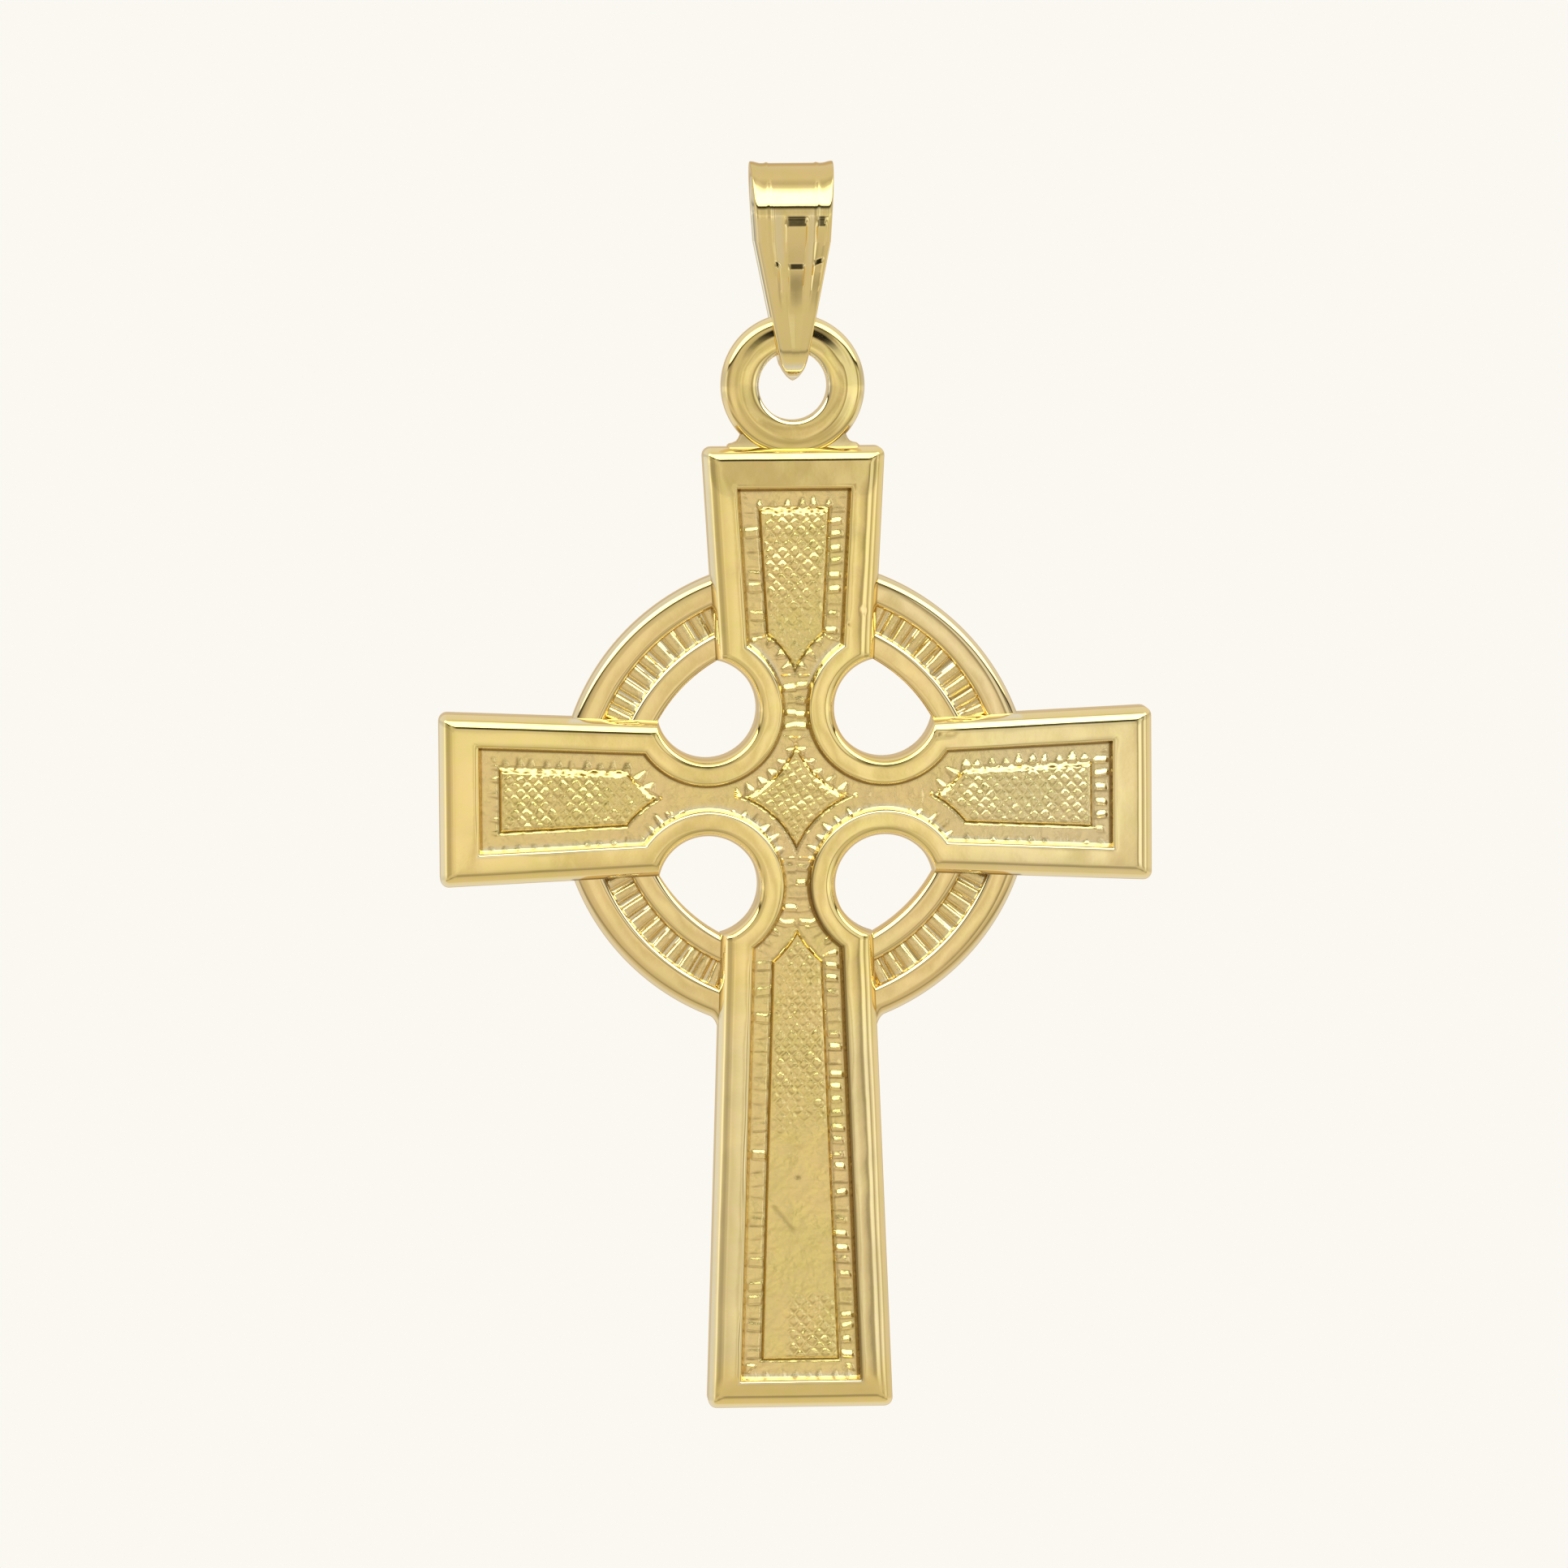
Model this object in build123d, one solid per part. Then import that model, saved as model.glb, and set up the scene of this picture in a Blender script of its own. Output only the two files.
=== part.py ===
from build123d import *
from collections import namedtuple
import math
import os

# Celtic cross pendant in millimetres, +Z up, its front towards -Y.
# The origin is the highest point inside the bail, where a chain bears.
# Each casting is drawn flat first: x to the right, y up, z towards the front,
# from the centre of the crossing on the plain back face.

# Arms, each widening from the centre of the crossing to its end
top_reach = 10.75
side_reach = 10.95
foot_reach = 18.90
root_half_width = 2.20
top_half_width = 2.80
side_half_width = 2.68
foot_half_width = 2.86
corner_radius = 0.22

# Round bites that part the arms at the crossing
bite_offset = 2.72
bite_radius = 1.54

# Polished rim round the arms, and the sunk floor inside it
cross_thickness = 1.50
bevel_width = 0.28
bevel_drop = 0.40
rim_width = 1.03
top_end_rim = 1.30
side_end_rim = 1.26
foot_end_rim = 0.92
bite_rim = 0.82
recess_depth = 0.36

# Ribbed border on the floor, and the raised panels and diamond inside it
border_width = 0.57
top_panel_tip = 3.86
side_panel_tip = 4.24
foot_panel_tip = 4.08
panel_rise = 0.16
bar_pitch = 0.415
bar_width = 0.20
bar_rise = 0.12

# Ring behind the arms, with a sunk channel of broad ribs
ring_outer_radius = 7.28
ring_outer_band = 0.90
ring_inner_band = 0.75
ring_step = 0.12
ring_bevel = 0.28
ring_edge = 0.12
channel_width = 0.78
channel_depth = 0.24
rib_pitch_angle = 4.5
rib_width = 0.30
rib_rise = 0.17

# Eye on the top arm, with its soldered seat
eye_overlap = 0.33
eye_outer_radius = 2.20
eye_hole_radius = 1.06
eye_thickness = 1.10
eye_middle = 0.66
eye_bevel = 0.30
eye_inner_bevel = 0.20
seat_half_width = 2.02
seat_thickness = 0.10
solder_half_width = 1.76
solder_height = 0.44
solder_lean = 0.20

# Bail: a strap folded round the eye's rim and closed at its tip
strap_thickness = 0.32
bail_clearance = 0.06
bail_drop = 5.17
bail_top_radius = 1.55
bail_tip_length = 0.28
bail_tip_radius = 0.20
bail_top_half_width = 1.28
bail_waist_drop = 2.40
bail_waist_half_width = 1.13
bail_cradle_half_width = 0.59
bail_low_half_width = 0.30
bail_tip_half_width = 0.14
line_offset = 0.66
line_width = 0.13
line_rise = 0.07
line_drop = 3.40

# How far a raised detail is rooted in what carries it
root_depth = 0.05

floor_height = cross_thickness - recess_depth
ring_height = floor_height - ring_step
channel_floor = ring_height - channel_depth
recess_bite_radius = bite_radius + bite_rim
diamond_bite_radius = recess_bite_radius + border_width
arm_span = max(top_reach, side_reach)
channel_outer_radius = ring_outer_radius - ring_outer_band
channel_inner_radius = channel_outer_radius - channel_width
ring_bore_radius = channel_inner_radius - ring_inner_band
eye_height = top_reach + eye_outer_radius - eye_overlap

# The eye's rim turns about the middle of its own section, inside the strap's cradle.
# The hole's side comes lower at the strap's edges, so the cradle is larger by that sag.
rim_section = eye_outer_radius - eye_hole_radius
pivot_height = eye_height + eye_hole_radius + rim_section / 2
section_reach = max(
    math.hypot(rim_section / 2 - eye_inner_bevel, eye_thickness / 2),
    math.hypot(rim_section / 2, eye_thickness / 2 - eye_inner_bevel),
    math.hypot(rim_section / 2 - eye_bevel, eye_thickness / 2),
    math.hypot(rim_section / 2, eye_thickness / 2 - eye_bevel),
)
hole_sag = eye_hole_radius - math.sqrt(eye_hole_radius**2 - bail_cradle_half_width**2)
cradle_radius = section_reach + hole_sag + bail_clearance
bail_tip_drop = bail_drop + cradle_radius + strap_thickness + bail_tip_length
origin_height = pivot_height + bail_drop - strap_thickness


# Each arm is drawn pointing up and turned into its place
Arm = namedtuple("Arm", "turn half_width reach end_rim panel_tip")
ARMS = [
    Arm(0, top_half_width, top_reach, top_end_rim, top_panel_tip),
    Arm(90, side_half_width, side_reach, side_end_rim, side_panel_tip),
    Arm(180, foot_half_width, foot_reach, foot_end_rim, foot_panel_tip),
    Arm(270, side_half_width, side_reach, side_end_rim, side_panel_tip),
]


def widening(arm):
    """How much an arm's half width grows with each millimetre from the centre."""
    return (arm.half_width - root_half_width) / arm.reach


def blade(arm, side_inset=0.0, end_inset=0.0, corner=0.0):
    """One arm's outline: it widens evenly from the crossing's centre to its end."""
    root = root_half_width - side_inset
    end_reach = arm.reach - end_inset
    end = root + widening(arm) * end_reach
    outline = Polygon((-root, 0), (root, 0), (end, end_reach), (-end, end_reach), align=None)
    if corner:
        outline = fillet(outline.vertices().group_by(Axis.Y)[-1], corner)
    return outline


def less_bites(plan, radius):
    """A plan parted by the four round bites, cut to a radius about their centres."""
    for x in (-bite_offset, bite_offset):
        for y in (-bite_offset, bite_offset):
            plan -= Pos(x, y) * Circle(radius)
    return plan


def outline_plan(corner=0.0):
    """Outline of the four arms."""
    plan = Sketch() + [Rot(0, 0, arm.turn) * blade(arm, corner=corner) for arm in ARMS]
    return less_bites(plan, bite_radius)


def floor_plan():
    """The sunk floor inside the rim."""
    blades = [Rot(0, 0, arm.turn) * blade(arm, rim_width, arm.end_rim) for arm in ARMS]
    return less_bites(Sketch() + blades, recess_bite_radius)


def panel_plan():
    """The diamond at the crossing, and a panel on each arm, pointed towards it."""
    plan = less_bites(Rectangle(2 * bite_offset, 2 * bite_offset), diamond_bite_radius)
    for arm in ARMS:
        sides = blade(arm, rim_width + border_width, arm.end_rim + border_width)
        length = arm.reach - bite_offset
        sides &= Pos(0, bite_offset + length / 2) * Rectangle(2 * arm.half_width, length)
        tip_radius = math.hypot(bite_offset, arm.panel_tip - bite_offset)
        plan += Rot(0, 0, arm.turn) * less_bites(sides, tip_radius)
    return plan


def shoulder_reach(arm):
    """How far up an arm the floor's side leaves the bite's rounded side."""
    floor_half_width = root_half_width - rim_width + widening(arm) * diamond_bite_radius
    beside = bite_offset - floor_half_width
    return bite_offset + math.sqrt(recess_bite_radius**2 - beside**2)


def spaced(start, end, pitch):
    """Places an even pitch apart that fill the stretch from start to end."""
    count = max(1, round((end - start) / pitch))
    return [start + (end - start) * (i + 0.5) / count for i in range(count)]


def border_bars():
    """Bars across the border: over each arm, along each end and round each bite."""
    bars = []
    for arm in ARMS:
        panel_end = arm.reach - arm.end_rim - border_width
        for y in spaced(shoulder_reach(arm), panel_end, bar_pitch):
            bars.append(Rot(0, 0, arm.turn) * Pos(0, y) * Rectangle(2 * arm.half_width, bar_width))
        end_half = arm.half_width - rim_width - border_width
        end_bar = Pos(0, panel_end + border_width / 2) * Rectangle(bar_width, border_width)
        for x in spaced(-end_half, end_half, bar_pitch):
            bars.append(Rot(0, 0, arm.turn) * Pos(x, 0) * end_bar)
    middle_radius = recess_bite_radius + border_width / 2
    spoke = Pos(middle_radius, 0) * Rectangle(border_width + 2 * root_depth, bar_width)
    root_gap = bite_offset - root_half_width + rim_width
    half_sweep = 45 + math.degrees(math.acos(root_gap / recess_bite_radius))
    towards_crossing = 225
    sweep = (towards_crossing - half_sweep, towards_crossing + half_sweep)
    quadrant = Pos(arm_span / 2, arm_span / 2) * Rectangle(arm_span, arm_span)
    fan = Sketch()
    for angle in spaced(*sweep, math.degrees(bar_pitch / middle_radius)):
        fan += Pos(bite_offset, bite_offset) * Rot(0, 0, angle) * spoke
    fan &= quadrant
    return bars + [Rot(0, 0, arm.turn) * fan for arm in ARMS]


def cast_arms():
    """The arms: bevelled rim, sunk floor, raised panels and diamond, ribbed border."""
    body = extrude(outline_plan(), cross_thickness)
    front = body.faces().sort_by(Axis.Z)[-1]
    body = chamfer(front.outer_wire().edges(), bevel_width, bevel_drop, reference=front)
    body &= extrude(outline_plan(corner_radius), cross_thickness)
    floor = floor_plan()
    body -= Pos(0, 0, floor_height) * extrude(floor, recess_depth)
    panels = panel_plan()
    bars = (Sketch() + border_bars()) & (floor - panels)
    low = Pos(0, 0, floor_height - root_depth)
    body += low * extrude(panels, panel_rise + root_depth)
    body += low * extrude(bars, bar_rise + root_depth)
    return body


def ring():
    """The ring, turned as one section with its channel, then ribbed."""
    section = Polygon(
        (ring_bore_radius, 0),
        (ring_outer_radius, 0),
        (ring_outer_radius, ring_height - ring_bevel),
        (ring_outer_radius - ring_bevel, ring_height),
        (channel_outer_radius, ring_height),
        (channel_outer_radius, channel_floor),
        (channel_inner_radius, channel_floor),
        (channel_inner_radius, ring_height),
        (ring_bore_radius + ring_edge, ring_height),
        (ring_bore_radius, ring_height - ring_edge),
        align=None,
    )
    body = revolve(Plane.XZ * section, Axis.Z)
    middle = channel_inner_radius + channel_width / 2
    half_arm = math.degrees(math.asin(root_half_width / middle))
    rib = Box(channel_width + 2 * root_depth, rib_width, rib_rise + root_depth)
    rib = Pos(middle, 0, channel_floor + (rib_rise - root_depth) / 2) * rib
    ribs = []
    for arm in ARMS:
        for angle in spaced(half_arm, 90 - half_arm, rib_pitch_angle):
            ribs.append(Rot(0, 0, arm.turn + angle) * rib)
    return body + ribs


def eye():
    """The eye with its bevelled edges, standing on its soldered seat."""
    back = eye_middle - eye_thickness / 2
    face = eye_middle + eye_thickness / 2
    section = Polygon(
        (eye_hole_radius, back + eye_inner_bevel),
        (eye_hole_radius + eye_inner_bevel, back),
        (eye_outer_radius - eye_bevel, back),
        (eye_outer_radius, back + eye_bevel),
        (eye_outer_radius, face - eye_bevel),
        (eye_outer_radius - eye_bevel, face),
        (eye_hole_radius + eye_inner_bevel, face),
        (eye_hole_radius, face - eye_inner_bevel),
        align=None,
    )
    body = Pos(0, eye_height) * revolve(Plane.XZ * section, Axis.Z)
    foot = top_reach - root_depth
    solder_top = solder_half_width - solder_lean
    solder = Polygon(
        (-solder_half_width, foot),
        (solder_half_width, foot),
        (solder_top, foot + solder_height),
        (-solder_top, foot + solder_height),
        align=None,
    )
    seat_height = seat_thickness + root_depth
    seat = Pos(0, foot + seat_height / 2) * Rectangle(2 * seat_half_width, seat_height)
    below = Pos(0, 0, back + eye_inner_bevel)
    depth = eye_thickness - 2 * eye_inner_bevel
    body += below * extrude(solder, depth)
    body += below * extrude(seat, depth)
    trim = Pos(0, eye_height, cross_thickness / 2) * Cylinder(eye_hole_radius, 2 * cross_thickness)
    return body - trim


def cross():
    """The whole casting, set upright below the origin."""
    body = cast_arms() + ring() + eye()
    stand = Plane(origin=(0, eye_middle, -origin_height), x_dir=(1, 0, 0), z_dir=(0, -1, 0))
    return stand * body


def teardrop(growth):
    """Side outline of the strap's outer face, grown by an amount."""
    tip_height = strap_thickness - bail_tip_drop + bail_tip_radius
    top = Pos(0, strap_thickness - bail_top_radius) * Circle(bail_top_radius + growth)
    cradle = Pos(0, strap_thickness - bail_drop) * Circle(cradle_radius + strap_thickness + growth)
    tip = Pos(0, tip_height) * Circle(bail_tip_radius + growth)
    return make_hull(top.edges() + cradle.edges() + tip.edges())


def bail_hollow():
    """Side outline of the space inside the strap."""
    top = Pos(0, strap_thickness - bail_top_radius) * Circle(bail_top_radius - strap_thickness)
    cradle = Pos(0, strap_thickness - bail_drop) * Circle(cradle_radius)
    return make_hull(top.edges() + cradle.edges())


def strap_front():
    """Front outline of the strap: a long taper with a blunt point."""
    right = [
        (bail_top_half_width, strap_thickness + line_rise),
        (bail_waist_half_width, strap_thickness - bail_waist_drop),
        (bail_cradle_half_width, strap_thickness - bail_drop),
        (bail_low_half_width, strap_thickness - bail_tip_drop + bail_tip_radius),
        (bail_tip_half_width, strap_thickness - bail_tip_drop),
    ]
    left = [(-x, y) for x, y in reversed(right)]
    return Polygon(*right, *left, align=None)


def raised_lines():
    """Front outline of the two raised lines, which run beside the strap's edges."""
    end = strap_thickness - line_drop
    share = (line_drop - bail_waist_drop) / (bail_drop - bail_waist_drop)
    narrowing = share * (bail_waist_half_width - bail_cradle_half_width)
    end_offset = line_offset * (bail_waist_half_width - narrowing) / bail_top_half_width
    lines = Sketch()
    for side in (-1, 1):
        lines += Polygon(
            (side * line_offset - line_width / 2, strap_thickness + line_rise),
            (side * line_offset + line_width / 2, strap_thickness + line_rise),
            (side * end_offset + line_width / 2, end),
            (side * end_offset - line_width / 2, end),
            align=None,
        )
    return lines


def bail():
    """The folded strap with its two raised lines."""
    hollow = bail_hollow()
    reach = bail_top_radius + line_rise
    blank = extrude(Plane.YZ * (Sketch() + teardrop(0.0) - hollow), bail_top_half_width, both=True)
    strap = blank & extrude(Plane.XZ * strap_front(), reach, both=True)
    grown = extrude(Plane.YZ * (Sketch() + teardrop(line_rise) - hollow), bail_top_half_width, both=True)
    return strap + (grown & extrude(Plane.XZ * raised_lines(), reach, both=True))


os.makedirs("parts", exist_ok=True)
for name, piece in {"cross": cross(), "bail": bail()}.items():
    solid = piece.solid()
    solid.label = name
    export_step(solid, f"parts/{name}.step")
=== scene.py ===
import functools
import math

import bpy
import numpy as np
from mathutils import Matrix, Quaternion, Vector, geometry


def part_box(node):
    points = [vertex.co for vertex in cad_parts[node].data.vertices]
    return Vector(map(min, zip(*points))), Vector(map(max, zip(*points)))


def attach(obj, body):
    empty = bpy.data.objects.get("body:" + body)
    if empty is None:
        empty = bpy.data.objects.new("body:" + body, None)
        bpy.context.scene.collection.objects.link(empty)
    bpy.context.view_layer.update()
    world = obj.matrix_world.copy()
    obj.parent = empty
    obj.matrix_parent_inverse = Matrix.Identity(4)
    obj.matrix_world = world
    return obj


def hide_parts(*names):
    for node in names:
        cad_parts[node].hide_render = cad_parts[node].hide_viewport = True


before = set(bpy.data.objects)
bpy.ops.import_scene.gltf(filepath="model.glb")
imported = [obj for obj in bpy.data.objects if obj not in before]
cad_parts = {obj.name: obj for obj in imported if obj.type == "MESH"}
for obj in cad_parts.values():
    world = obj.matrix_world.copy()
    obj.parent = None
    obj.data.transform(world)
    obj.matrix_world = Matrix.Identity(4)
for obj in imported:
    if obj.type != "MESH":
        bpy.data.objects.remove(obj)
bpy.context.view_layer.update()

# The cross is worked out flat, in millimetres, like the casting: x to the right, y up,
# z from the plain back towards the front, with the centre of the crossing at 0, 0.
MM = 0.001

cross_low, cross_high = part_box("cross")
BAIL_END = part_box("bail")[0][2] / MM

# Arms, in the order top, left, foot, right
TOP, LEFT, FOOT, RIGHT = range(4)
SIDE_REACH = cross_high[0] / MM
HALF_WIDTH = np.array([2.80, 2.68, 2.86, 2.68])
REACH = np.array([10.75, SIDE_REACH, 18.90, SIDE_REACH])
END_RIM = np.array([1.30, 1.26, 0.92, 1.26])
PANEL_TIP = np.array([3.86, 4.24, 4.08, 4.24])
ROOT_HALF_WIDTH = 2.20
WIDENING = (HALF_WIDTH - ROOT_HALF_WIDTH) / REACH
CORNER_RADIUS = 0.27
BITE_OFFSET = 2.72
BITE_RADIUS = 1.54
THICKNESS = (cross_high[1] - cross_low[1]) / MM
CROSSING_Z = cross_low[2] / MM + REACH[FOOT]
BACK_EDGE = 0.06
SHARP_ANGLE = 38

# Relief inside the arms
RIM_WIDTH = 1.03
BITE_RIM = 0.82
FLOOR_BITE = BITE_RADIUS + BITE_RIM
FLOOR = 1.14
BORDER_WIDTH = 0.57
FLOOR_CORNER = 0.05
PANEL_EDGE = 0.07
PANEL_TOP_EDGE = 0.15
PANEL_RISE = 0.075
GROOVE_DEPTH, GROOVE_WIDTH = 0.030, 0.03
BAR_PITCH = 0.415
BAR_RISE = 0.050
TILE_RISE = 0.030
SPIKE_RISE = 0.080
BESIDE, AT_END, ROUND_BITE, ACROSS_NECK = range(4)  # where in the border a bar stands
NECK_HALF_WIDTH = 0.42
NECK_START = 1.85
HATCH_ACROSS = 0.375
HATCH_UP = 0.42
HATCH_CROSSING = 0.27
HATCH_RISE = 0.035
RELIEF_ROWS = 7

# How far the rim slopes down to each arm's end and sides, and where the slope to the end stops
END_FACET = np.array([0.070, 0.0, 0.045, 0.0])
SIDE_CROWN = np.array([0.050, 0.012, 0.050, 0.012])
FACET_START = 0.45

# The rim rolls over more steeply at a bite: its insets there, and the insets of a side that they match
BITE_INSETS = (0, 0.174, 0.264, 0.375, 2.0)
BITE_AS_SIDE = (0, 0.33, 0.42, 0.60, 3.2)

# Steps along the mesh's lines, and the insets of the lines round the outline and round the floor
RIM_STEP, RELIEF_STEP, LINE_STEP = 0.14, 0.048, 0.048 * 1.3
OUTLINE_INSETS = (
    0, 0.012, 0.03, 0.08, 0.13, 0.16, 0.19, 0.22, 0.25, 0.29, 0.33, 0.35, 0.37, 0.395, 0.42, 0.435, 0.50, 0.60
)
FLOOR_INSETS = (0.34, 0.26, 0.20, 0.175, 0.15, 0.125, 0.105, 0.08, 0.06, 0.04, 0.02, 0.0, -FLOOR_CORNER)

# Small faults: place, size across and up, and depth of each dent
DENTS = [
    (-0.03, -11.76, 0.08, 0.06, 0.012),
    (2.09, 5.73, 0.08, 0.05, 0.014),
    (1.52, 5.33, 0.10, 0.06, -0.012),
    (-0.22, -2.04, 0.10, 0.04, 0.012),
    (4.52, 1.91, 0.30, 0.07, 0.016),
]
SCRATCH = ((-0.80, -12.62), (-0.16, -13.42))

# Dark stains in the walls of the bites
STAINS = [(-1.60, 3.72), (2.05, -4.05)]

# Ring
RING_OUTER = 7.28
RING_BORE = 4.85
RING_FACE = 1.02
RING_BACK = 0.03
CHANNEL_OUTER = 6.38
CHANNEL_INNER = 5.60
CHANNEL_FLOOR = 0.78
RIB_PITCH_ANGLE = 4.5
RIB_RISE = 0.11
RING_MEETS_SHAFT = 19.2  # degrees from straight down
SHAFT_FILLET = 0.22

# Steps round the ring and the eye in degrees, and the depth of the waves in their faces
RING_TURN, EYE_TURN = 0.3, 1.2
RING_WAVES, EYE_WAVES = 0.004, 0.006

# Eye and its seat
EYE_HEIGHT = 12.62
EYE_OUTER = 2.20
EYE_HOLE = 1.06
EYE_MIDDLE = 0.66
EYE_THICKNESS = 1.10

SEAT_HALF_WIDTH = 2.02
SEAT_BACK = 0.31
SEAT_FRONT = 1.03

# Bail
STRAP = 0.32
BAIL_TOP_RADIUS = 1.55
BAIL_DROP = 5.17
CRADLE_RADIUS = 0.908
BAIL_TIP_RADIUS = 0.20
BAIL_TOP = STRAP + 0.07
LINE_RISE, LINE_PLACE, LINE_WIDTH = 0.030, 0.60, 0.045
EDGE_ROUNDING = 0.11
EAR_RISE = 0.06
CREASE_SLOPE = 0.10
LOWER_FOLD_HEIGHT = -5.20
LOWER_FOLD_RADIUS = 1.10
STEP_START = -1.28
STEP_DROP = 0.32
LEDGE_DROP = 0.19
PLAIN_BACK = -9.0  # a height below all marks, so the back of the strap has none
STRAP_ROWS, STRAP_COLUMNS = 270, 47
ROW_SPREAD = ((0, 0.24, 0.68, 1), (0, 0.29, 0.56, 1))  # shares of the rows, and of the length they cover

# Camera, at the photograph's viewing angle
CAMERA_AZIMUTH = -3.0
CAMERA_ELEVATION = 4.5
CAMERA_ROLL = -0.42
LENS = 200.0
SENSOR = 36.0
FRAME_WIDTH = 48.15
FRAME_CENTRE = (-0.37, -0.4, -18.70)

# Colours of the gold, of its painted highlight (PALE_GOLD) and of its painted shade and tarnish, how much
# that painted shade dulls it, the scales of its uneven tone, and the darkness of the painted shade marks
GREEN_GOLD = (0.89, 0.70, 0.235, 1)
WARM_GOLD = (0.97, 0.72, 0.265, 1)
ROSE_GOLD = (0.98, 0.69, 0.35, 1)
PALE_GOLD = (0.88, 0.80, 0.60, 1)
SHADE_AND_TARNISH = (0.24, 0.15, 0.045, 1)
DULLING = 0.12
BROAD_TONE, FINE_TONE = 700.0, 2600.0
NOISE_SPAN = (0.32, 0.68)
MARK_SHADE = 0.20

# Light: the paper's own glow, the world's strength, and its brightness behind the pendant
PAPER = (0.965, 0.939, 0.888, 1)
BRIGHTEST = 4.2
BEHIND = 0.84
FAR_BEHIND = (0.66, 0.53, 0.34)

# Where one light gives way to another: by elevation in degrees, and by how far ahead a direction points
LEVEL_TO_SKY = (7, 16)
BEHIND_TO_AHEAD = (-0.05, 0.30)
FAR_TO_NEAR = (-0.88, -0.68)

# Brightness by elevation well above and below the view, in degrees
VERTICAL_LIGHT = [
    (-90, 0.70), (-60, 0.74), (-46, 0.72), (-36, 0.64), (-31.5, 0.52), (-28, 0.38), (-25, 0.38), (-22, 0.52),
    (-19, 0.64), (-12, 0.70), (-4, 0.72), (3, 0.64), (8, 0.48), (9.8, 0.20), (10.8, 0.02), (16.9, 0.02),
    (18, 0.6), (20.5, 2.7), (26, 3.2), (46, 3.2), (55, 1.8), (62, 0.90), (72, 0.64), (82, 0.66), (90, 0.72),
]

# Brightness by azimuth near the view's own height, and its share by elevation there
LEVEL_LIGHT = [
    (-180, 0.8), (-105, 0.9), (-88, 1.0), (-72, 1.3), (-60, 0.95), (-50, 0.60), (-38, 0.50), (-27, 0.56),
    (-18, 0.70), (-9, 0.90), (-3, 0.84), (0, 0.94), (1.4, 0.97), (2.4, 0.78), (3.4, 0.76), (4.0, 1.02),
    (5.0, 1.06), (5.6, 0.84), (7, 0.72), (9, 0.34), (11.5, 0.74), (14, 1.20), (27, 1.15), (33, 0.66),
    (38, 0.46), (44, 0.74), (54, 1.2), (64, 0.95), (78, 0.62), (105, 0.82), (180, 0.8),
]
LEVEL_SHARE = [
    (-14, 0.84), (-8.5, 0.84), (-6.4, 0.90), (-5.2, 0.98), (-4.5, 1.0), (-2.8, 0.97), (-2.2, 0.92),
    (-1.5, 0.82), (3, 0.76), (14, 0.76),
]


def ease(low, high, value):
    """Nought up to low, one from high on, and a smooth rise between them."""
    t = np.clip((value - low) / (high - low), 0, 1)
    return t * t * (3 - 2 * t)


def bell(distance, width):
    """A bump: one at no distance, and a third of that at its width."""
    return np.exp(-((distance / width) ** 2))


def least(*values):
    return functools.reduce(np.minimum, values)


def most(*values):
    return functools.reduce(np.maximum, values)


def soft_min(a, b, reach):
    """The lower of two heights, with the crease between them rounded."""
    h = np.clip(reach - np.abs(a - b), 0, None) / reach
    return np.minimum(a, b) - h * h * reach / 4


def soft_max(a, b, reach):
    """The higher of two heights, with the crease between them rounded."""
    return -soft_min(-a, -b, reach)


def chance(*keys):
    """An even random number from 0 to 1 that depends on the keys alone."""
    mixed = sum(np.asarray(k, dtype=float) * f for k, f in zip(keys, (12.9898, 78.233, 37.719, 53.117)))
    value = np.sin(mixed + 1.37) * 43758.5453
    return value - np.floor(value)


def noise(x, y, size, seed):
    """Smooth noise from -1 to 1 with features of about the given size."""
    gx, gy = x / size, y / size
    ix, iy = np.floor(gx), np.floor(gy)
    fx, fy = ease(0, 1, gx - ix), ease(0, 1, gy - iy)
    low = chance(ix, iy, seed) * (1 - fx) + chance(ix + 1, iy, seed) * fx
    high = chance(ix, iy + 1, seed) * (1 - fx) + chance(ix + 1, iy + 1, seed) * fx
    return 2 * (low * (1 - fy) + high * fy) - 1


def section(stations):
    """Heights below the top of a surface whose tilt in degrees is given at each distance."""
    distance = np.linspace(stations[0][0], stations[-1][0], 400)
    tilt = np.interp(distance, [s[0] for s in stations], [s[1] for s in stations])
    slope = np.tan(np.radians(tilt))
    steps = (slope[1:] + slope[:-1]) / 2 * np.diff(distance)
    height = np.concatenate([[0], np.cumsum(steps)])
    return distance, height - height[-1]


# Tilt of each polished edge by distance from it: first the steep bevels that several of them start with
BEVEL = [(0, 80), (0.012, 72), (0.03, 63)]
EYE_BEVEL = BEVEL + [(0.09, 58), (0.12, 46), (0.15, 33), (0.18, 22), (0.23, 15), (0.26, 6)]
RIM_OUTSIDE = section(
    BEVEL + [(0.13, 58), (0.16, 46), (0.19, 33), (0.25, 22), (0.33, 15), (0.35, 9.6), (0.42, 8.2),
             (0.435, 1.5), (0.50, 0.5), (0.70, 0)]
)
RIM_INSIDE = section(
    [(0, 76), (0.04, 68), (0.06, 44), (0.08, 27), (0.105, 13), (0.125, 9.8), (0.175, 7.8), (0.20, 3.5),
     (0.26, 1), (0.34, 0)]
)
EYE_OUTSIDE = section(EYE_BEVEL + [(0.38, 5), (0.42, 9.4), (0.51, 8.6), (0.55, 2.5), (0.66, 0)])
EYE_OUTSIDE_ABOVE = section(EYE_BEVEL + [(0.37, 5), (0.395, 9.8), (0.58, 8.6), (0.61, 2.0), (0.70, 0)])
EYE_INSIDE = section([(0, 62), (0.03, 48), (0.06, 28), (0.11, 12), (0.16, 5), (0.26, 0)])
RING_OUTSIDE = section(
    BEVEL + [(0.09, 58), (0.12, 44), (0.15, 30), (0.20, 20), (0.23, 10), (0.29, 8), (0.31, 3), (0.40, 0)]
)
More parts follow.
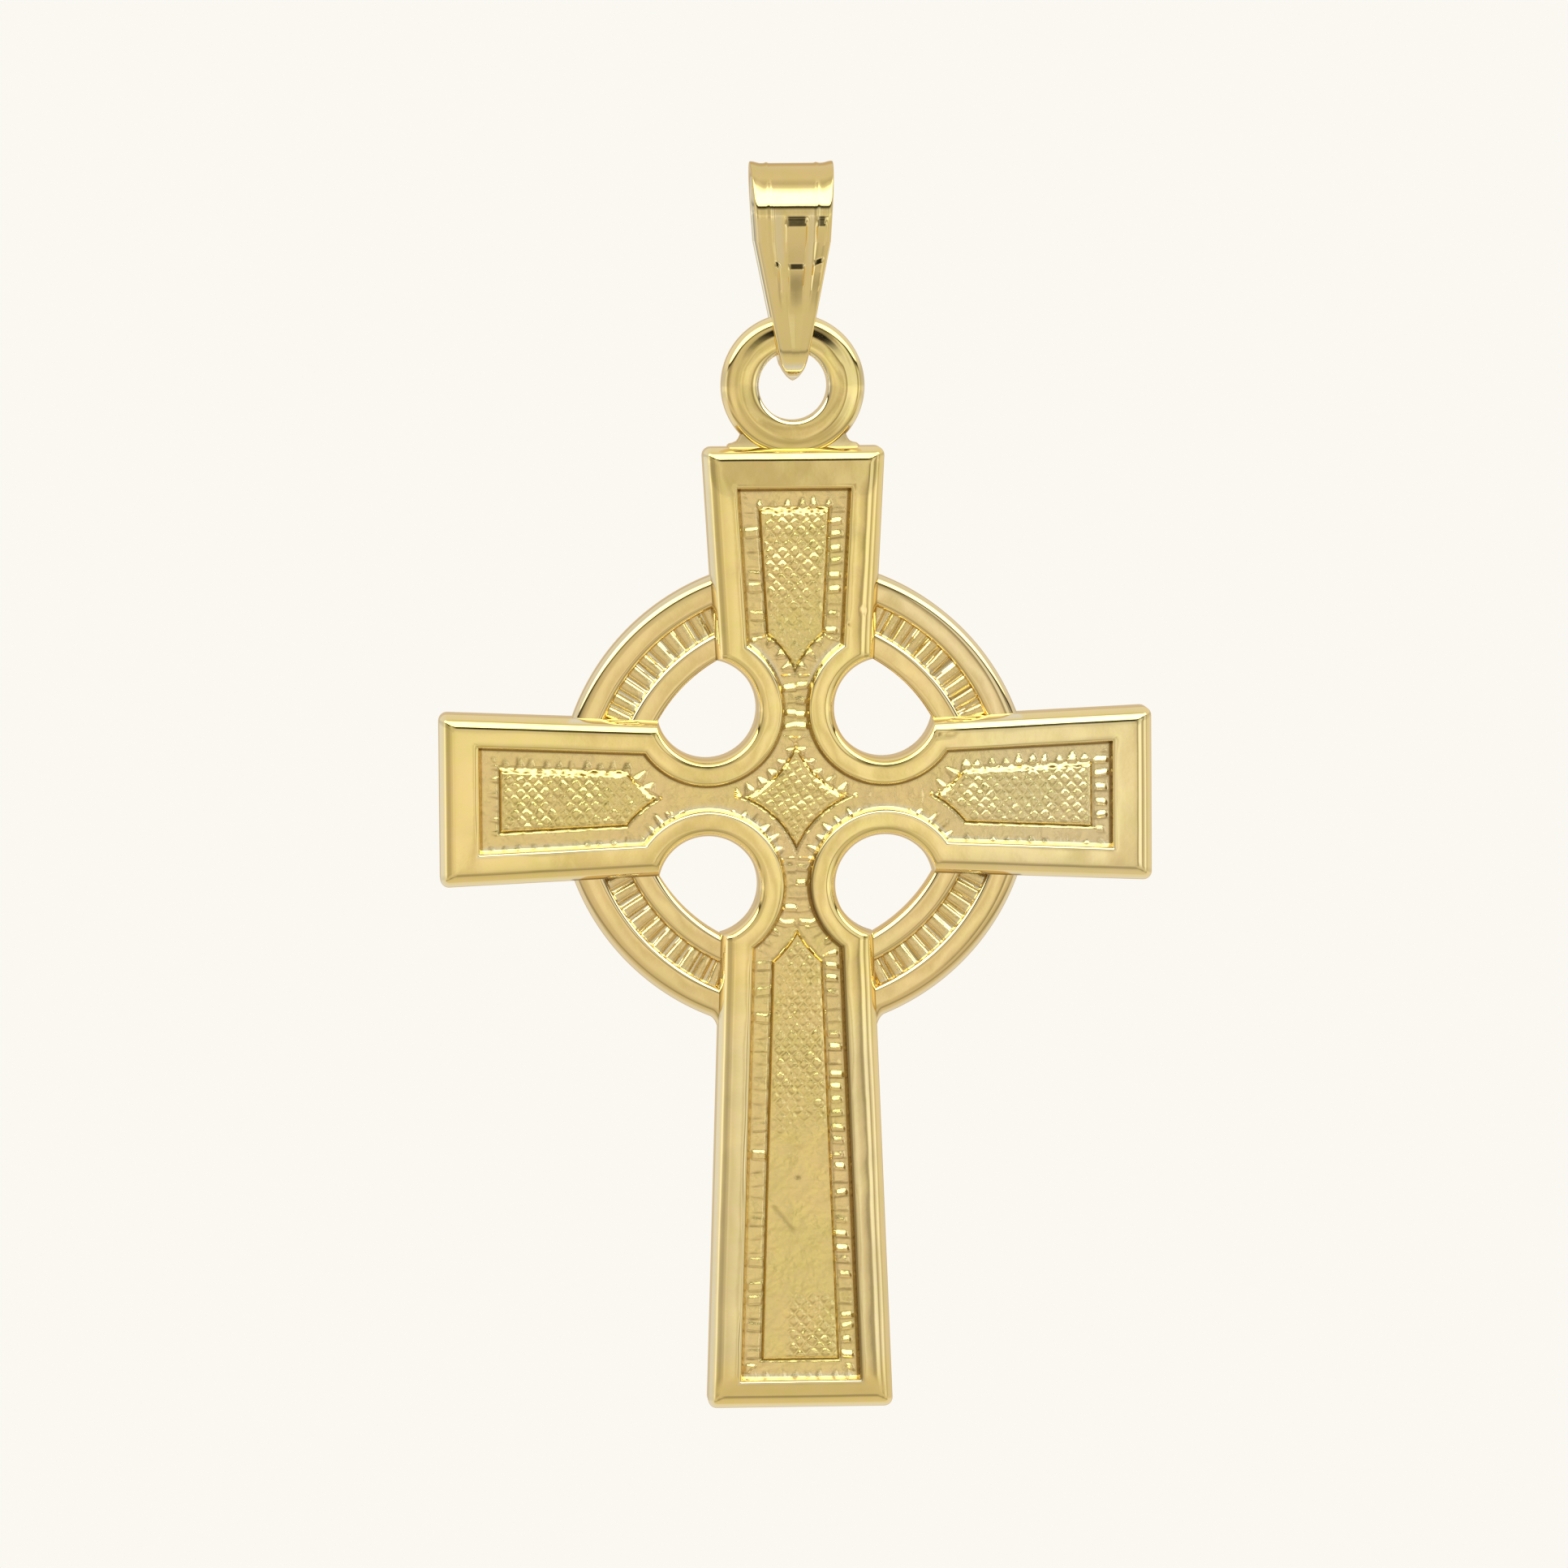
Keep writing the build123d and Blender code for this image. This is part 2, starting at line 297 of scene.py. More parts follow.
RING_INSIDE = section([(0, 60), (0.02, 42), (0.045, 20), (0.08, 8), (0.13, 2), (0.22, 0)])
RING_INSIDE_BELOW = section([(0, 64), (0.03, 52), (0.06, 36), (0.09, 24), (0.13, 18), (0.16, 6), (0.22, 0)])
CHANNEL_SIDE = section([(0, 62), (0.03, 40), (0.06, 22), (0.10, 9), (0.14, 3), (0.18, 0)])


def drop(profile, distance):
    """Height of a section, nought or less, at a distance from its edge."""
    return np.interp(distance, *profile)


def arm_frame(x, y):
    """Which arm each point belongs to, and its place across and along that arm."""
    along = np.stack([y, -x, -y, x])
    across = np.stack([x, y, -x, -y])
    arm = np.argmax(along, axis=0)
    pick = (arm, np.arange(len(x)))
    return arm, across[pick], along[pick]


def insets(arm, u, v, side_inset, end_inset, bite_radius):
    """Distances inside an arm's two sides, its end and the bites beside its root."""
    slope = WIDENING[arm]
    side = (ROOT_HALF_WIDTH - side_inset + slope * v - np.abs(u)) / np.sqrt(1 + slope**2)
    end = REACH[arm] - end_inset - v
    bite = np.hypot(np.abs(u) - BITE_OFFSET, v - BITE_OFFSET) - bite_radius
    return side, end, bite


def rounded_depth(side, end, radius):
    """The nearer of two distances, with lines of equal distance rounded at their corner."""
    nearest = np.minimum(side, end)
    corner = np.hypot(np.clip(radius - side, 0, None), np.clip(radius - end, 0, None))
    return np.where(nearest < radius, radius - corner, nearest)


def outline_depth(arm, u, v):
    """How far a point lies inside the arms' outline, with its corners rounded and bites steepened."""
    side, end, bite = insets(arm, u, v, 0, 0, BITE_RADIUS)
    steepened = np.where(bite > 0, np.interp(bite, BITE_INSETS, BITE_AS_SIDE), 1.9 * bite)
    return np.minimum(rounded_depth(side, end, CORNER_RADIUS), steepened)


def floor_depth(arm, u, v):
    """How far a point lies inside the floor's sides, its end and its bites."""
    return insets(arm, u, v, RIM_WIDTH, END_RIM[arm], FLOOR_BITE)


def nearest_floor(arm, u, v):
    """How far a point lies inside the recessed floor."""
    return least(*floor_depth(arm, u, v))


def panel_depth(arm, u, v):
    """How far a point lies inside the panel on its arm, or the diamond at the crossing."""
    tip_radius = np.hypot(BITE_OFFSET, PANEL_TIP[arm] - BITE_OFFSET)
    side, end, tip = insets(arm, u, v, RIM_WIDTH + BORDER_WIDTH, END_RIM[arm] + BORDER_WIDTH, tip_radius)
    panel = least(side, end, tip, v - BITE_OFFSET)
    diamond_radius = FLOOR_BITE + BORDER_WIDTH
    diamond = np.hypot(np.abs(u) - BITE_OFFSET, v - BITE_OFFSET) - diamond_radius
    diamond = np.minimum(diamond, BITE_OFFSET - v)
    return np.maximum(panel, diamond)


def bars(x, y, arm, u, v, depths, panel):
    """Small raised bars across the border, uneven and partly worn, and the painted shade beside them."""
    floor = least(*depths)
    kind = np.argmin(np.stack(depths), axis=0)
    neck = (np.abs(u) < NECK_HALF_WIDTH) & (v > NECK_START) & (v < PANEL_TIP[arm] - 0.1)
    kind = np.where(neck & (kind == ROUND_BITE), ACROSS_NECK, kind)
    beside, at_end, round_bite, across_neck = (kind == k for k in (BESIDE, AT_END, ROUND_BITE, ACROSS_NECK))
    bite_middle = FLOOR_BITE + BORDER_WIDTH / 2
    angle = np.degrees(np.arctan2(v - BITE_OFFSET, np.abs(u) - BITE_OFFSET)) % 360 - 225
    run = np.stack([v, u + 10 * BAR_PITCH, np.radians(angle) * bite_middle + 20.5 * BAR_PITCH, v + 0.1])
    run = run[kind, np.arange(len(u))] / BAR_PITCH
    index = np.floor(run)

    def luck(seed):
        """A random number from 0 to 1 for each bar."""
        return chance(index, arm, kind * 3 + (u > 0) + seed)

    shift = 0.22 * (luck(0) - 0.5)
    lean = 0.30 * (luck(7) - 0.5) * (floor - BORDER_WIDTH / 2) / BAR_PITCH
    away = (run - index - 0.5 - shift - lean) * BAR_PITCH

    # Bars are whole on the right of the upright arms, in their necks and at the right arm's end.
    # They are flat tiles on the left of the upright arms, and thorns elsewhere.
    upright = (arm == TOP) | (arm == FOOT)
    right_end = (arm == RIGHT) & at_end
    tile = upright & beside & (x < 0)
    bar = (upright & beside & (x > 0)) | right_end | (upright & across_neck)
    thorn = ~tile & ~bar
    towards = np.array([[1, -1, -1, 1], [1, 1, -1, -1], [1, 1, 1, 1], [1, -1, -1, 1]])[kind, arm]
    up = away * towards

    # A bar slopes up gently and drops steeply, a tile has a flat top
    steep = np.clip((up + 0.13) / 0.04, 0, 1)
    gentle = np.clip((0.10 - up) / 0.15, 0, 1)
    flat = np.clip((up + 0.17) / 0.05, 0, 1) * np.clip((0.16 - up) / 0.10, 0, 1)
    whole = np.where(tile, flat, steep * gentle)

    # A thorn narrows from its foot to its point and slopes down to it
    low_band = ~upright & beside & (y < 0)
    from_rim = ((arm == FOOT) & at_end) | low_band | (round_bite & (y < 0))
    towards_panel = np.clip(floor / np.maximum(floor - panel, 0.05), 0, 1)
    share = np.where(from_rim, 1 - towards_panel, towards_panel)
    length = 0.25 + 0.35 * luck(31) + 0.20 * low_band
    taper = np.clip((share - length) / (1 - length), 0, 1)
    broad = (((arm == RIGHT) & beside) | round_bite) & (y > 0)
    half = 0.03 + (0.07 + 0.05 * luck(29)) * taper * np.where(broad, 1.45, 1.0)
    point = taper * np.clip(1.25 * (1 - (away / half) ** 2), 0, 1)
    profile = np.where(thorn, point, whole)

    # Some bars are worn, and those at the ends of two arms and across the side necks are faint
    wears = np.where(tile, np.where(arm == TOP, 0.35, 0.60), np.where(thorn, 0.15, 0.28))
    worn = luck(23) < np.where(broad | right_end, 0, wears)
    size = 0.50 + 0.55 * luck(13)
    size = size * np.where(worn, 0.25, 1.0) * np.where(broad, 1.25, 1.0)
    size = size * np.where(thorn & (arm == LEFT) & beside, 0.70, 1.0) * np.where(low_band, 0.55, 1.0)
    faint = (((arm == LEFT) | (arm == FOOT)) & at_end) | (~upright & across_neck)
    rise = np.where(tile, TILE_RISE, np.where(thorn, SPIKE_RISE, BAR_RISE))
    rise = rise * np.where(faint, np.where(arm == FOOT, 0.5, 0.3), 1.0) * size
    inner_end = 0.05 + 0.12 * luck(37) * bar
    outer_end = 0.08 * luck(39) * bar
    ends = ease(inner_end, inner_end + 0.10, floor) * ease(outer_end, outer_end + 0.07, -panel)
    ends = np.where(across_neck, ease(0.04, 0.12, floor) * ease(0.1, 0.2, -panel), ends)
    ends = np.where(thorn, ease(0.0, 0.04, floor) * ease(-0.02, 0.02, -panel), ends)

    # Painted shade lies along the side of each bar that faces down or left
    side_of = np.where(thorn, half + 0.015, np.where(tile, 0.185, 0.155))
    bar_shade = bell(up + side_of, 0.038) * np.where(thorn, ease(0, 0.3, taper), 1)
    middle = 0.20 + 0.17 * luck(43)
    reach = np.where(tile, bell(floor - middle, 0.17), ease(0.04, 0.10, floor))
    reach = reach * ease(0.0, 0.04, -panel)
    bar_shade = bar_shade * reach * (0.15 + 0.85 * luck(41) ** 1.3) * np.where(faint, 0.4, 1.0)
    return rise * profile * ends, bar_shade


def hatch(x, y, arm, v, panel):
    """Staggered flat-topped points on the panels, worn down on the lower shaft."""
    wx = x + 0.04 * noise(x, y, 0.7, 3) + 0.02 * noise(x, y, 0.2, 4)
    wy = y + 0.04 * noise(x, y, 0.7, 5) + 0.02 * noise(x, y, 0.2, 6)
    crossing = v < BITE_OFFSET
    turned_x, turned_y = 0.82 * wx + 0.57 * wy, 0.82 * wy - 0.57 * wx
    a = np.where(crossing, turned_x / HATCH_CROSSING, wx / HATCH_ACROSS + wy / HATCH_UP)
    b = np.where(crossing, turned_y / HATCH_CROSSING, wx / HATCH_ACROSS - wy / HATCH_UP)
    points = 1 - 2 * np.maximum(np.abs(a - np.round(a)), np.abs(b - np.round(b)))
    top = ease(0.0, 0.48, points)
    size = 0.55 + 0.45 * chance(np.round(a), np.round(b), 9)
    wear = np.select(
        [arm == TOP, arm == FOOT],
        [0.35 + 0.70 * ease(4.8, 7.6, y), 0.72 - 0.70 * ease(-9.4, -10.8, y)],
        0.95,
    )
    wear = np.where(crossing, 0.9, wear)
    wear = wear + 0.80 * ease(-15.2, -15.6, y) * ease(-0.6, -0.2, x)
    patch = np.clip(0.95 + 0.40 * noise(x, y, 0.8, 17), 0.5, 1.25)
    return HATCH_RISE * top * size * wear * patch * ease(0.02, 0.10, panel - PANEL_EDGE)


def dents(x, y):
    """Depth of the small faults at each point."""
    depth = 0
    for place_x, place_y, across, up, deep in DENTS:
        depth = depth + deep * np.exp(-(((x - place_x) / across) ** 2) - ((y - place_y) / up) ** 2)
    (x0, y0), (x1, y1) = SCRATCH
    length = math.hypot(x1 - x0, y1 - y0)
    along = ((x - x0) * (x1 - x0) + (y - y0) * (y1 - y0)) / length
    across = ((x - x0) * (y1 - y0) - (y - y0) * (x1 - x0)) / length
    run = ease(-0.08, 0.08, along) * ease(length + 0.12, length - 0.12, along)
    return depth + 0.006 * run * bell(across, 0.06)


def rim_height(x, y, arm, u, v, outline, floor):
    """The polished rim: rounded outside and inside, with the slight waves of hand polishing."""
    side, end, _ = insets(arm, u, v, 0, 0, BITE_RADIUS)
    inward = np.clip(side / RIM_WIDTH, 0, 1)
    crown = SIDE_CROWN[arm] * (1 - inward) ** 2 * ease(3.4, 5.2, v)
    facet_end = END_RIM[arm] + 0.1
    facet = np.clip((facet_end - end) / (facet_end - FACET_START), 0, 1)
    crown = soft_max(crown, END_FACET[arm] * facet, 0.03)
    outside = THICKNESS + drop(RIM_OUTSIDE, outline) - crown
    inside = THICKNESS + drop(RIM_INSIDE, -floor)
    waves = 0.009 * noise(x, y, 1.9, 41) + 0.0022 * noise(x, y, 0.6, 43)
    calm = ease(0.05, 0.3, outline) * ease(0.0, 0.2, -floor)
    return soft_min(outside, inside, 0.012) - (0.011 - waves) * calm


def panel_step(x, y, panel):
    """The panel's edge: a narrow step, with a wide ragged slope where it faces up."""
    edge_y = facing(panel_depth, x, y)[1]
    up = ease(0.72, 0.95, -edge_y) * (y > -2.5)
    ragged = 0.045 * up * noise(x, y, 0.13, 51)
    width = PANEL_EDGE + (PANEL_TOP_EDGE - PANEL_EDGE) * up
    return PANEL_RISE * np.clip((panel + ragged) / width, 0, 1)


def arms_height(x, y):
    """Height of the arms' front above the plain back."""
    arm, u, v = arm_frame(x, y)
    outline = outline_depth(arm, u, v)
    depths = floor_depth(arm, u, v)
    floor = least(*depths)
    panel = panel_depth(arm, u, v)
    rim = rim_height(x, y, arm, u, v, outline, floor) - dents(x, y)
    groove = GROOVE_DEPTH * bell(panel + 0.02, GROOVE_WIDTH)
    relief = FLOOR + bars(x, y, arm, u, v, depths, panel)[0] - groove
    relief = relief + panel_step(x, y, panel) + hatch(x, y, arm, v, panel) - dents(x, y)
    grain = 0.007 * noise(x, y, 0.5, 31) + 0.0035 * noise(x, y, 0.21, 33)
    streaks = 0.006 * noise(x, 0.4 * y, 0.085, 37) * (arm == TOP) * ease(7.6, 5.5, y)
    relief = relief + grain + 0.0022 * noise(x, y, 0.10, 35) + streaks * (panel > 0)
    foot = THICKNESS + drop(RIM_INSIDE, 0)
    inner = foot + (relief - foot) * ease(0, FLOOR_CORNER, floor)
    return np.where(floor > 0, inner, rim)


def facing(depth, x, y):
    """The way a depth grows fastest across the plan."""
    step = 0.01
    along_x = depth(*arm_frame(x + step, y)) - depth(*arm_frame(x - step, y))
    along_y = depth(*arm_frame(x, y + step)) - depth(*arm_frame(x, y - step))
    length = np.maximum(np.hypot(along_x, along_y), 1e-9)
    return along_x / length, along_y / length


def arms_shade(x, y):
    """Painted shade in the corners of the relief, beside the bars, in the dents and where the arms meet the
    ring, least where it faces up.
    """
    arm, u, v = arm_frame(x, y)
    depths = floor_depth(arm, u, v)
    floor = least(*depths)
    panel = panel_depth(arm, u, v)
    wall_x, wall_y = facing(nearest_floor, x, y)
    edge_x, edge_y = facing(panel_depth, x, y)
    wall = np.clip(0.66 - 0.46 * wall_y - 0.30 * wall_x * (arm != TOP), 0.10, 1)
    wide = 0.055 + 0.045 * np.clip(-wall_x, 0, 1) * (arm == FOOT)
    edge = np.clip(0.56 + 0.44 * edge_y + 0.15 * edge_x, 0.08, 1)
    at_wall = wall * bell(floor - 0.06 + wide, wide)
    at_edge = edge * bell(panel - 0.01, 0.055)
    beside = 0.70 * bars(x, y, arm, u, v, depths, panel)[1] * (floor > 0)
    spots = 60 * np.clip(dents(x, y), 0, None) * (floor > 0)
    radius = np.hypot(x, y)
    over_ring = (radius > RING_BORE) & (radius < RING_OUTER)
    over_ring = over_ring * ease(0.09, 0.02, outline_depth(arm, u, v))
    over_ring = over_ring * np.clip(0.35 + 0.65 * facing(outline_depth, x, y)[1], 0, 1)
    return np.clip(most(at_wall, at_edge, over_ring, beside, spots), 0, 1)


def arms_pale(x, y):
    """Painted highlights on the outermost bevel and on the recess's walls that face up, and paler on the
    shaft and the right arm.
    """
    arm, u, v = arm_frame(x, y)
    outline = outline_depth(arm, u, v)
    in_x, in_y = facing(outline_depth, x, y)
    amount = np.clip(0.45 + 0.32 * in_x + 0.12 * in_y, 0.1, 0.9)
    radius = np.hypot(x, y)
    over_ring = (radius > RING_BORE - 0.1) & (radius < RING_OUTER + 0.1)
    amount = np.maximum(amount, 0.9 * over_ring * ease(0.2, 0.9, -in_y))
    bevel = amount * ease(0.22, 0.08, outline)
    floor = nearest_floor(arm, u, v)
    wall = ease(0.1, 0.7, facing(nearest_floor, x, y)[1]) * bell(floor, 0.11)
    shaft = ease(-5, -8, y) * ease(-18.0, -17.0, y) * (floor < 0)
    return most(bevel, wall, 0.22 * np.maximum(shaft, ease(3, 7, x)))


def arms_rose(x, y):
    """How rosy the metal is: most in the borders between the rims and the panels."""
    arm, u, v = arm_frame(x, y)
    border = ease(0.0, 0.08, nearest_floor(arm, u, v)) * ease(0.02, -0.04, panel_depth(arm, u, v))
    return border * (0.30 + 0.25 * noise(x, y, 1.1, 67))


def stretch(start, end, step):
    """Even steps along a straight line, without its last point."""
    start, end = np.array(start, dtype=float), np.array(end, dtype=float)
    count = max(1, math.ceil(np.linalg.norm(end - start) / step))
    t = np.arange(count)[:, None] / count
    return start + (end - start) * t


def sweep(centre, radius, start, end, step):
    """Even steps along an arc between two angles in radians, without its last point."""
    count = max(1, math.ceil(abs(end - start) * radius / step))
    angle = start + (end - start) * np.arange(count) / count
    return np.array(centre) + radius * np.stack([np.cos(angle), np.sin(angle)], axis=1)


def side_at(arm, v, inset):
    return ROOT_HALF_WIDTH - inset + WIDENING[arm] * v


def shoulder(arm, side_inset, bite_radius):
    """Where an arm's side meets the bite beside its root, in the arm's frame."""
    k = WIDENING[arm]
    gap = ROOT_HALF_WIDTH - side_inset - BITE_OFFSET
    a, b, c = 1 + k * k, k * gap - BITE_OFFSET, gap * gap + BITE_OFFSET**2 - bite_radius**2
    v = (-b + math.sqrt(b * b - a * c)) / a
    return side_at(arm, v, side_inset), v


def turned(points, arm):
    """Points in an arm's frame, turned to its place on the cross."""
    turn = math.radians(90 * arm)
    c, s = math.cos(turn), math.sin(turn)
    return np.stack([points[:, 0] * c - points[:, 1] * s, points[:, 0] * s + points[:, 1] * c], axis=1)


def square_end(u, v, width, end, step):
    """Three straight lines: up an arm's left side, across its end and down its right side."""
    corners = ((-u, v), (-width, end), (width, end), (u, v))
    return [stretch(a, b, step) for a, b in zip(corners[:-1], corners[1:])]


def arm_loop(side_inset, end_inset, bite_radius, corner, step):
    """A closed line round all four arms at given insets, clockwise from the top arm."""
    parts = []
    for arm in (TOP, RIGHT, FOOT, LEFT):
        u, v = shoulder(arm, side_inset, bite_radius)
        end = REACH[arm] - end_inset[arm]
        lean = math.atan(WIDENING[arm])
        if corner > 0.01:
            centre_v = end - corner
            centre_u = side_at(arm, centre_v, side_inset) - corner / math.cos(lean)
            out, rise = centre_u + corner * math.cos(lean), centre_v - corner * math.sin(lean)
            local = [
                stretch((-u, v), (-out, rise), step),
                sweep((-centre_u, centre_v), corner, math.pi + lean, math.pi / 2, step / 2),
                stretch((-centre_u, end), (centre_u, end), step),
                sweep((centre_u, centre_v), corner, math.pi / 2, -lean, step / 2),
                stretch((out, rise), (u, v), step),
            ]
        else:
            local = square_end(u, v, side_at(arm, end, side_inset), end, step)
        next_arm = (arm - 1) % 4
        next_u, next_v = shoulder(next_arm, side_inset, bite_radius)
        start = math.atan2(v - BITE_OFFSET, u - BITE_OFFSET)
        finish = math.atan2(next_u - BITE_OFFSET, next_v - BITE_OFFSET)
        finish += 2 * math.pi if finish < start else 0
        local.append(sweep((BITE_OFFSET, BITE_OFFSET), bite_radius, start, finish, step))
        parts.append(turned(np.concatenate(local), arm))
    return np.concatenate(parts)


def panel_loop(arm, inset, step):
    """A closed line round one arm's panel."""
    side_inset = RIM_WIDTH + BORDER_WIDTH + inset
    end = REACH[arm] - END_RIM[arm] - BORDER_WIDTH - inset
    radius = math.hypot(BITE_OFFSET, PANEL_TIP[arm] - BITE_OFFSET) + inset
    tip = BITE_OFFSET + math.sqrt(radius**2 - BITE_OFFSET**2)
    u, v = shoulder(arm, side_inset, radius)
    width = side_at(arm, end, side_inset)
    near = math.atan2(v - BITE_OFFSET, u - BITE_OFFSET)
    far = math.atan2(tip - BITE_OFFSET, -BITE_OFFSET)
    right_arc = sweep((BITE_OFFSET, BITE_OFFSET), radius, near, far, step)
    left_arc = sweep((-BITE_OFFSET, BITE_OFFSET), radius, math.pi - far, math.pi - near, step)
    local = square_end(u, v, width, end, step) + [right_arc, left_arc]
    return turned(np.concatenate(local), arm)


def diamond_loop(inset, step):
    """A closed line round the diamond at the crossing."""
    radius = FLOOR_BITE + BORDER_WIDTH + inset
    tip = BITE_OFFSET - math.sqrt(radius**2 - BITE_OFFSET**2)
    start = math.atan2(tip - BITE_OFFSET, -BITE_OFFSET) % (2 * math.pi)
    end = math.atan2(-BITE_OFFSET, tip - BITE_OFFSET) % (2 * math.pi)
    arc = sweep((BITE_OFFSET, BITE_OFFSET), radius, start, end, step)
    return np.concatenate([turned(arc, arm) for arm in (TOP, RIGHT, FOOT, LEFT)])


def place(plan):
    """Casting millimetres to scene metres: the front faces -Y."""
    x, y, z = plan[:, 0], plan[:, 1], plan[:, 2]
    return np.stack([x * MM, cross_high[1] - z * MM, (y + CROSSING_Z) * MM], axis=1)


def make_piece(
    name, points, faces, materials, paint, index=None, body="pendant", node="cross"
):
    """An object at the origin that stands for a CAD node and moves with its body."""
    mesh = bpy.data.meshes.new(name)
    mesh.from_pydata(points.tolist(), [], faces)
    for layer, values in paint.items():
        mesh.attributes.new(layer, "FLOAT", "POINT").data.foreach_set("value", values.astype(np.float32))
    for material in materials:
        mesh.materials.append(material)
    if index is not None:
        mesh.polygons.foreach_set("material_index", np.asarray(index, dtype=np.int32))
    mesh.validate()
    mesh.shade_smooth()
    mesh.set_sharp_from_angle(angle=math.radians(SHARP_ANGLE))
    piece = bpy.data.objects.new(name, mesh)
    bpy.context.scene.collection.objects.link(piece)
    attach(piece, body)
    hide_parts(node)


def triangulate(points, loops):
    """Triangles over loose points with every loop kept as edges, and each old point's new number."""
    edges = []
    first = 0
    for loop in loops:
        count = len(loop)
        edges += [(first + i, first + (i + 1) % count) for i in range(count)]
        first += count
    coords = [Vector(p) for p in np.concatenate([*loops, points]).tolist()]
    found = geometry.delaunay_2d_cdt(coords, edges, [], 0, 1e-6, True)
    number = {old: new for new, olds in enumerate(found[3]) for old in olds}
    return np.array([tuple(v) for v in found[0]]), np.array(found[2]), number


def outline_loop(inset, in_bite):
    """A closed line at one inset from the arms' sides and ends, and at its own inset from the bites."""
    return arm_loop(inset, np.full(4, inset), BITE_RADIUS + in_bite, CORNER_RADIUS - inset, RIM_STEP)


def relief_loops():
    """The lines that the mesh of the arms' front follows. The first is the outline itself."""
    loops = []
    for inset in OUTLINE_INSETS:
        loops.append(outline_loop(inset, float(np.interp(inset, BITE_AS_SIDE, BITE_INSETS))))
    for inset in FLOOR_INSETS:
        step = RIM_STEP if inset > 0.1 else LINE_STEP
        loops.append(arm_loop(RIM_WIDTH - inset, END_RIM - inset, FLOOR_BITE - inset, 0, step))
    for inset in (0.0, PANEL_EDGE):
        loops += [panel_loop(arm, inset, LINE_STEP) for arm in range(4)]
        loops.append(diamond_loop(inset, LINE_STEP))
    return loops


def relief_grid():
    """Staggered rows of points over the recessed relief, clear of the lines."""
    row_step, across_step = HATCH_UP / 2 / RELIEF_ROWS, HATCH_ACROSS / RELIEF_ROWS
    row = np.arange(-math.ceil(REACH[FOOT] / row_step), math.ceil(REACH[TOP] / row_step))
    widest = math.ceil(SIDE_REACH / across_step)
    across, row = np.meshgrid(np.arange(-widest, widest), row)
    x, y = ((across + 0.5 * (row % 2)) * across_step).ravel(), (row * row_step).ravel()
    arm, u, v = arm_frame(x, y)
    panel = panel_depth(arm, u, v)
    clear = RELIEF_STEP * 0.5
    keep = (nearest_floor(arm, u, v) > FLOOR_CORNER + clear) & (np.abs(panel) > clear)
    keep &= np.abs(panel - PANEL_EDGE) > clear
    return np.stack([x[keep], y[keep]], axis=1)


def at_middles(depth, flat, triangles):
    """A depth at the middle of each triangle."""
    middle = flat[triangles].mean(axis=1)
    return depth(*arm_frame(middle[:, 0], middle[:, 1]))


def arms_paint(points):
    """Painted shade, painted highlights and rose on the arms, with stains in the walls of the bites."""
    x, y, z = points.T
    front = z > FLOOR - 0.12
    from_bite = np.hypot(np.abs(x) - BITE_OFFSET, np.abs(y) - BITE_OFFSET)
    in_bite = (from_bite < BITE_RADIUS + 0.02) & (z > 0.5 * BACK_EDGE)
    stain = 0.4 * ease(0.35, 0.6, noise(x, y, 0.45, 61))
    for place_x, place_y in STAINS:
        stain = np.maximum(stain, ease(0.45, 0.15, np.hypot(x - place_x, y - place_y)))
    return {
        "shade": np.where(front, arms_shade(x, y), 0.8 * stain * in_bite),
        "pale": np.where(z > 1.5 * BACK_EDGE, arms_pale(x, y), 0.4),
        "rose": np.where(front, arms_rose(x, y), 0.0),
    }


def make_arms(polished, satin):
    """The four arms as one closed piece with the whole front relief."""
    loops = relief_loops()
    flat, triangles, number = triangulate(relief_grid(), loops)
    triangles = triangles[at_middles(outline_depth, flat, triangles) > 0]
    faces = triangles.tolist()
    index = (at_middles(nearest_floor, flat, triangles) > 0).astype(int).tolist()
    points = [np.column_stack([flat, arms_height(flat[:, 0], flat[:, 1])])]

    # The outline's points are the boundary: walls go down from it to the back
    count = len(loops[0])
    rim = [number[i] for i in range(count)]
    outline = flat[rim]
    middle = len(flat)
    start = middle + count
    for level in (2 * BACK_EDGE, BACK_EDGE):
        points.append(np.column_stack([outline, np.full(count, level)]))
    for i in range(count):
        j = (i + 1) % count
        faces.append([rim[j], rim[i], middle + i, middle + j])
        faces.append([middle + j, middle + i, start + i, start + j])

    # The back is plain and flat, with a rounded edge
    back_loops = [outline] + [outline_loop(inset, inset) for inset in (BACK_EDGE, 2 * BACK_EDGE)]
    back, triangles, number = triangulate(np.zeros((0, 2)), back_loops)
    triangles = triangles[at_middles(outline_depth, back, triangles) > 0]
    depth = outline_depth(*arm_frame(back[:, 0], back[:, 1]))
    points.append(np.column_stack([back, BACK_EDGE * (1 - ease(0, BACK_EDGE, depth))]))
    new_number = np.arange(len(back)) + start + count
    for i in range(count):
        new_number[number[i]] = start + i
    faces += new_number[triangles[:, ::-1]].tolist()
    index += [0] * (len(faces) - len(index))

    faces, every = without_loose(faces, np.concatenate(points))
    make_piece("cross_arms", place(every), faces, [polished, satin], arms_paint(every), index)


def without_loose(faces, points):
    """Drops points that no face uses."""
    used = np.zeros(len(points), dtype=bool)
    for face in faces:
        used[face] = True
    number = np.cumsum(used) - 1
    return [[int(number[i]) for i in face] for face in faces], points[used]


